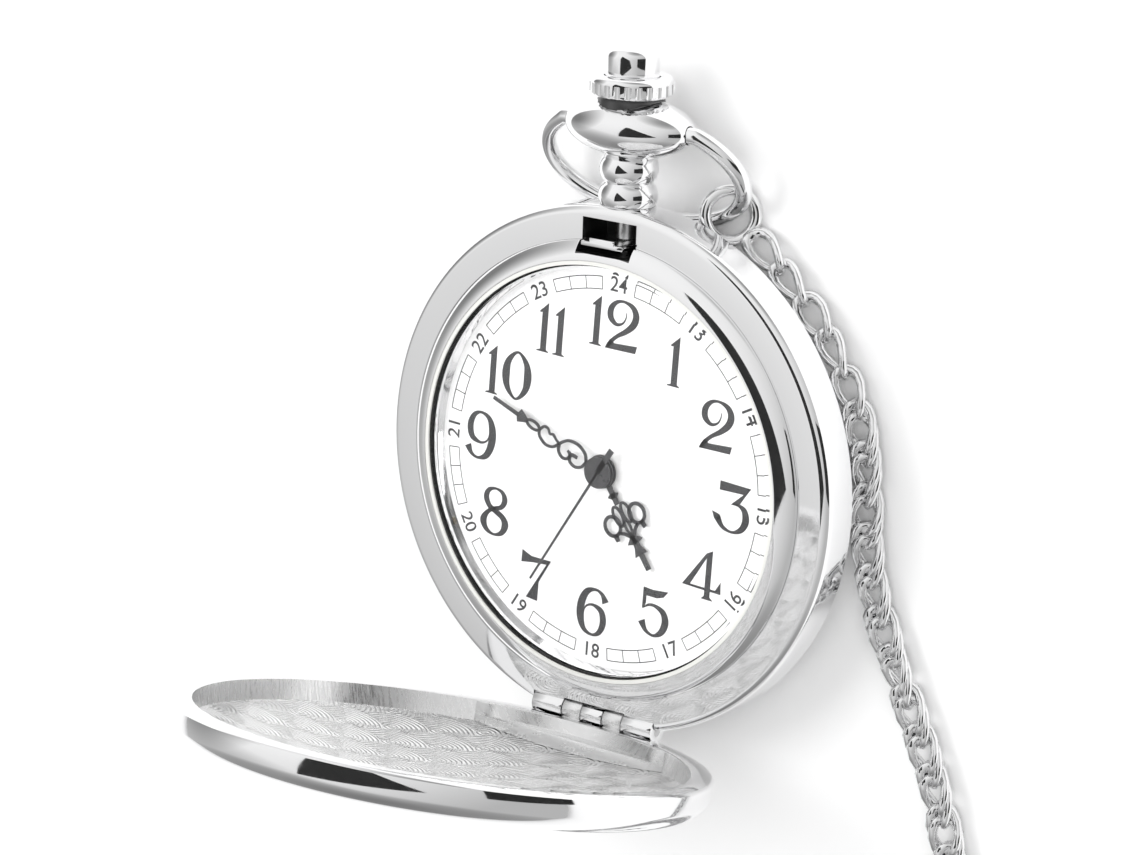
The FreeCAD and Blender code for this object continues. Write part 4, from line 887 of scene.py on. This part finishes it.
def wire(name, points, radius):
    """Round wire through points, with rounded ends."""
    line = bpy.data.curves.new(name, "CURVE")
    line.dimensions = "3D"
    spline = line.splines.new("POLY")
    spline.points.add(len(points) - 1)
    for point, co in zip(spline.points, points):
        point.co = (*(Vector(co) * MM), 1)
    line.bevel_depth = radius * MM
    line.bevel_resolution = 8
    line.use_fill_caps = True
    piece = bpy.data.objects.new(name, line)
    bpy.context.collection.objects.link(piece)
    pick(piece)
    bpy.ops.object.convert(target="MESH")
    return piece


def bow():
    """Wire bow whose ends turn into the head."""
    end = math.acos(-BOW_MID / BOW_RY)
    turns = [-end + 2 * end * i / 96 for i in range(97)]
    loop = [bow_point(t) for t in turns]
    left, right = [[Vector((side * x, BOW_PIVOT.y, AXIS_Z)) for x in (BOW_PIVOT_X, BOW_BEND_X)]
                   for side in (-1, 1)]
    piece = wire("bow_wire", left + loop + right[::-1], BOW_WIRE_R)
    smooth(piece, 60)
    add(piece, "bow", SILVER, node="bow")


def crown_ring():
    """Crown ring with grooves on its lower half."""
    low, high = span("crown_ring")
    radius = high.x
    start = (radius, high.y - 0.6)
    outline = [(0.5, low.y), (radius - 0.35, low.y), (radius, low.y + 0.3), start]
    outline += arc(start, (radius - 0.16, high.y - 0.16), (radius - 0.6, high.y), 8)
    outline += [(2.6, high.y), (2.45, high.y - 0.15), (2.45, low.y + 0.35), (0.5, low.y + 0.35)]
    piece = lathe_y("crown_ring_knurled", outline, 144)
    cutters = []
    for i in range(24):
        t = 2 * math.pi * i / 24
        x, z = (radius + 0.08) * math.cos(t), AXIS_Z + (radius + 0.08) * math.sin(t)
        cutters.append(rod(0.3, (x, low.y - 1, z), (x, low.y + 1.15, z), 16))
    pick(*cutters)
    bpy.ops.object.join()
    cut(piece, cutters[0])
    soften(piece, 0.05, 2)
    add(piece, "crown", SILVER, node="crown_ring")


def push_button():
    """Rounded button on two prongs."""
    low, high = span("push_button")
    radius, bottom = 2.35, 34.15
    start = (radius, high.y - 1.05)
    outline = [(0, bottom), (radius, bottom), start]
    outline += arc(start, (radius - 0.28, high.y - 0.42), (radius - 0.95, high.y - 0.16), 12)
    outline += dome(outline[-1], high.y, 12)
    piece = lathe_y("push_button_cap", outline, 96, closed=False)
    prongs = [rod(0.25, (s * 1.4, low.y, AXIS_Z), (s * 1.4, bottom + 0.1, AXIS_Z), 16) for s in (-1, 1)]
    unite(piece, *prongs)
    soften(piece, 0.06, 2, 50)
    add(piece, "button", SILVER, node="push_button")


# --- cover ---

def cover_shell():
    """Front cover, made shut and then swung open."""
    top = COVER_PLANE + COVER_WALL_H
    crown = top + COVER_DOME_H
    edge = (COVER_R - 2.6, top + 0.9)
    inner_edge = (COVER_WALL_R, COVER_PLANE + COVER_INNER_H)
    outline = dome(inner_edge, crown - COVER_SKIN)[::-1] + [inner_edge, (COVER_WALL_R, COVER_PLANE)]
    outline += [(COVER_R - 0.25, COVER_PLANE), (COVER_R, COVER_PLANE + 0.25), (COVER_R, top - 0.7)]
    outline += arc(outline[-1], (COVER_R - 0.62, top + 0.25), edge, 12) + dome(edge, crown)
    piece = lathe("cover_shell_turned", outline, closed=False)
    webs = [block(s * 2.2 - 1.02, s * 2.2 + 1.02, HINGE.y, -20.6, COVER_PLANE - 0.5, COVER_PLANE + 0.92)
            for s in (-1, 1)]
    cut(piece, barrel_room(), *webs)
    soften(piece, 0.05, 2)
    clothe(piece, SILVER, SILVER_SATIN, TURNED)
    for face in piece.data.polygons:
        centre = face.center / MM
        r = math.hypot(centre.x, centre.y)
        if r < COVER_WALL_R + 0.01 and centre.z > COVER_PLANE + 1.8 and face.normal.z < -0.5:
            face.material_index = 2
        elif abs(r - COVER_WALL_R) < 0.06 and abs(face.normal.z) < 0.3:
            face.material_index = 1
    swing_open(piece)
    add(piece, "cover", node="cover_shell", slot="silver_plate")


# --- chain ---

ROUTE = [
    (10.1, 21.35), (14.8, 17.5), (18.6, 13.2), (21.4, 8.3), (22.8, 2.9), (22.9, -2.8),
    (24.2, -8.3), (26.5, -13.6), (29.1, -18.7), (31.4, -24.0), (33.2, -29.7),
    (34.4, -36.2), (35.0, -43.2), (35.0, -50.8), (34.5, -58.5),
]
CHAIN_D = 3.2
COIL_X, COIL_Y, COIL_R, COIL_TURNS, COIL_STEPS = 13.5, -58.5, 21.0, 2.25, 16
LINK_L, LINK_W, LINK_WIRE = 5.1, 3.2, 0.8
LINK_PITCH = 3.55
LINK_TWIST = math.radians(52)
LINK_PAIR = 1.1
SINGLE_LINKS = 5


def chain_points():
    """Route beside the case, then a coil that narrows by one chain width a turn."""
    height = CHAIN_D / 2
    points = [(x, y, height) for x, y in ROUTE]
    count = int(COIL_TURNS * COIL_STEPS)
    for i in range(1, count + 1):
        angle = -2 * math.pi * i / COIL_STEPS
        radius = COIL_R - CHAIN_D * i / COIL_STEPS
        points.append((COIL_X + radius * math.cos(angle), COIL_Y + radius * math.sin(angle), height))
    return points


def route_line():
    """The chain's route as a smooth curve, and the points read from it."""
    points = chain_points()
    line = bpy.data.curves.new("chain_route", "CURVE")
    line.dimensions = "3D"
    line.resolution_u = 12
    spline = line.splines.new("NURBS")
    spline.points.add(len(points) - 1)
    for point, co in zip(spline.points, points):
        point.co = (*(Vector(co) * MM), 1)
    spline.order_u = 3
    spline.use_endpoint_u = True
    holder = bpy.data.objects.new("chain_route", line)
    bpy.context.collection.objects.link(holder)
    bpy.context.view_layer.update()
    data = bpy.data.meshes.new_from_object(holder)
    result = [v.co.copy() for v in data.vertices]
    bpy.data.objects.remove(holder)
    return result


def link_shape():
    """One twisted oval link, along X."""
    deselect()
    bpy.ops.mesh.primitive_torus_add(major_segments=18, minor_segments=6,
                                     major_radius=(LINK_W - LINK_WIRE) / 2 * MM,
                                     minor_radius=LINK_WIRE / 2 * MM)
    piece = bpy.context.object
    stretch = (LINK_L - LINK_W) / 2 * MM
    for vertex in piece.data.vertices:
        x, y, z = vertex.co
        x += stretch * max(-1.0, min(1.0, x / (0.9 * MM)))
        turn = LINK_TWIST * x / (LINK_L / 2 * MM)
        vertex.co = (x, y * math.cos(turn) - z * math.sin(turn), y * math.sin(turn) + z * math.cos(turn))
    return piece


def chain():
    """Links along the route, doubled after the first few."""
    line = route_line()
    gone = [0.0]
    for a, b in zip(line, line[1:]):
        gone.append(gone[-1] + (b - a).length)
    total = gone[-1]
    link = link_shape()
    count = int(total / (LINK_PITCH * MM))
    links = []
    k = 0
    for i in range(count):
        at = (i + 0.5) * total / count
        while gone[k + 1] < at:
            k += 1
        a, b = line[k], line[k + 1]
        share = (at - gone[k]) / (gone[k + 1] - gone[k])
        along = (b - a).normalized()
        side = Vector((0, 0, 1)).cross(along).normalized()
        up = along.cross(side)
        roll = math.radians(14 * math.sin(i * 2.4) + 8 * math.sin(i * 0.7))
        lean = side * math.cos(roll) + up * math.sin(roll)
        rise = along.cross(lean)
        turn = Matrix((along, lean, rise)).transposed().to_4x4()
        for shift in (0.0,) if i < SINGLE_LINKS else (-LINK_PAIR / 2, LINK_PAIR / 2):
            copy = link.copy()
            copy.data = link.data.copy()
            bpy.context.collection.objects.link(copy)
            place = a.lerp(b, share) + along * shift * MM
            copy.data.transform(Matrix.Translation(place) @ turn)
            links.append(copy)
    bpy.data.objects.remove(link)
    pick(*links)
    bpy.ops.object.join()
    piece = links[0]
    piece.name = "chain_links"
    smooth(piece, 80)
    clothe(piece, CHAIN_METAL)
    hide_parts("chain", "chain_coil")
    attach(piece, "chain")


# --- carried-over CAD nodes ---

NODE_MATERIALS = {
    "back_gasket": RUBBER, "crystal_gasket": HOLDER, "dial": DIAL_WHITE, "movement_holder": HOLDER,
    "main_plate": NICKEL, "train_bridge": NICKEL, "bridge_screws": STEEL, "circuit_board": BOARD,
    "chip": CHIP, "quartz_can": STEEL, "stator": STEEL, "coil_core": STEEL, "coil_winding": COPPER,
    "battery": STEEL, "battery_strap": STEEL, "rotor": DARK_STEEL_AND_SHADE, "fifth_wheel": BRASS,
    "second_wheel": BRASS, "third_wheel": BRASS, "centre_wheel": BRASS, "minute_wheel": BRASS,
    "hour_wheel": BRASS, "setting_wheel": BRASS, "hinge_pin": STEEL, "lift_spring": STEEL,
    "pendant_tube": STEEL, "stem": STEEL, "sliding_pinion": STEEL, "setting_lever": STEEL,
    "plunger": STEEL, "button_spring": STEEL, "jump_ring": CHAIN_METAL, "end_ring": CHAIN_METAL,
}


def dress_nodes():
    """Materials of the CAD pieces that stay as they are."""
    for name, material in NODE_MATERIALS.items():
        frame["nodes"][name].material_slots[0].material = material


# --- studio ---

CAMERA_AT = Vector((196.3, 93.4, 280.4))
LOOK = Vector((-0.5724, -0.258, -0.7783))
IMAGE_UP = Vector((-0.1783, 0.9657, -0.1889))
LENS = 126.2


def add_camera():
    """Long lens above and to the right of the watch."""
    deselect()
    bpy.ops.object.camera_add(location=CAMERA_AT * MM)
    camera = bpy.context.object
    back = -LOOK.normalized()
    right = IMAGE_UP.cross(back).normalized()
    up = back.cross(right)
    camera.matrix_world = Matrix.Translation(CAMERA_AT * MM) @ Matrix((right, up, back)).transposed().to_4x4()
    camera.data.lens = LENS
    camera.data.sensor_width = 36
    camera.data.clip_start = 0.01
    bpy.context.scene.camera = camera


def add_floor():
    deselect()
    bpy.ops.mesh.primitive_plane_add(size=6, location=(0, 0, 0))
    floor = bpy.context.object
    floor.name = "floor"
    clothe(floor, plain("floor_white", (0.93, 0.93, 0.93), 0.7, 0.8, scale=40.0, depth=0.001))


def area_light(name, place, target, size, power):
    """Soft light that adds to the floor and dial but is not mirrored."""
    deselect()
    bpy.ops.object.light_add(type="AREA", location=Vector(place))
    lamp = bpy.context.object
    lamp.name = name
    lamp.data.energy = power
    lamp.data.size = size
    lamp.visible_glossy = False
    lamp.rotation_euler = (Vector(target) - Vector(place)).to_track_quat("-Z", "Y").to_euler()


def studio_world():
    """Even white room with a few dark places for the metal to mirror."""
    world = bpy.data.worlds.new("studio")
    world.use_nodes = True
    bpy.context.scene.world = world
    kit = Kit(world.node_tree)
    direction = kit.node("ShaderNodeTexCoord", {}, out=0)
    lift = kit.node("ShaderNodeVectorMath", {"operation": "DOT_PRODUCT"}, direction, (-0.5, 0.6, 0.62), out=1)
    shade = kit.node("ShaderNodeMapRange", {}, lift, -0.3, 1.0, 0.5, 1.0)
    for centre, width, edge, depth in DARK_PLACES:
        toward = kit.node("ShaderNodeVectorMath", {"operation": "DOT_PRODUCT"}, direction,
                          tuple(Vector(centre).normalized()), out=1)
        inside = kit.node("ShaderNodeMapRange", {}, toward, math.cos(math.radians(width + edge)),
                          math.cos(math.radians(width)), 0.0, 1.0)
        shade = shade * (1.0 - inside * depth)
    background = world.node_tree.nodes["Background"]
    background.inputs["Color"].default_value = (1, 1, 1, 1)
    kit.plug(background.inputs["Strength"], shade)


def add_flags():
    """Black cards that give the polished metal its dark edges."""
    black = plain("flag_black", (0.01, 0.01, 0.01), 0.8, 0.9)
    for name, (corners, distance) in FLAGS.items():
        deselect()
        bpy.ops.mesh.primitive_plane_add(size=1)
        card = bpy.context.object
        card.name = name
        for vertex, k in zip(card.data.vertices, (0, 1, 3, 2)):
            vertex.co = Vector(corners[k]) * distance * MM
        clothe(card, black)
        card.visible_camera = False
        card.visible_diffuse = False
        card.visible_shadow = False
        card.visible_transmission = False


# direction, half angle, soft edge, depth
DARK_PLACES = [
    ((-0.6, -0.7, 0.3), 8.0, 38.0, 0.5),
    ((0.1, -0.97, 0.25), 6.0, 34.0, 0.45),
    ((-0.97, 0.25, 0.15), 6.0, 30.0, 0.75),
    ((0.3, 0.95, 0.1), 6.0, 26.0, 0.6),
]
# black flags, which only the metal mirrors: four directions from the watch and a distance
FLAGS = {
    "flag_bezel": ([(-0.2, 0.48, 0.87), (-0.14, 0.48, 0.87), (0.5, -0.14, 0.85), (-0.33, -0.3, 0.89)], 500),
    "flag_right": ([(0.8, -0.12, 0.6), (0.78, 0.26, 0.58), (0.97, 0.28, 0.02), (0.98, -0.18, 0.02)], 450),
    "flag_low": ([(-0.75, -0.45, -0.003), (-0.3, -0.45, -0.003), (-0.3, -0.9, -0.003),
                  (-0.75, -0.9, -0.003)], 60),
}


# --- make everything ---

case_band()
case_back()
bezel()
dial_ring()
crystal()
dial_print()
hour_hand()
minute_hand()
second_hand()
pendant()
bow()
crown_ring()
push_button()
cover_shell()
clothe(refine("cover_hinge", 0.06, "cover"), SILVER_SATIN)
clothe(refine("cover_catch", 0.04, "cover"), SILVER)
clothe(refine("case_hinge", 0.06, "case"), SILVER)
clothe(refine("latch", 0.06, "latch"), SILVER)
clasp_body = clothe(refine("clasp_body", 0.15, "clasp"), CHAIN_METAL)
clasp_lever = clothe(refine("clasp_lever", 0.08, "clasp_gate"), CHAIN_METAL)
clasp_pin = clothe(refine("clasp_pin", 0.06, "clasp"), CHAIN_METAL)
chain()
dress_nodes()
add_camera()
add_floor()
studio_world()
add_flags()
area_light("key", (-0.5, 0.3, 0.9), (0, 0, 0), 0.6, 5)
area_light("fill", (0.6, 0.2, 0.9), (0, 0, 0), 0.8, 5)
bpy.context.scene.view_settings.view_transform = "Standard"
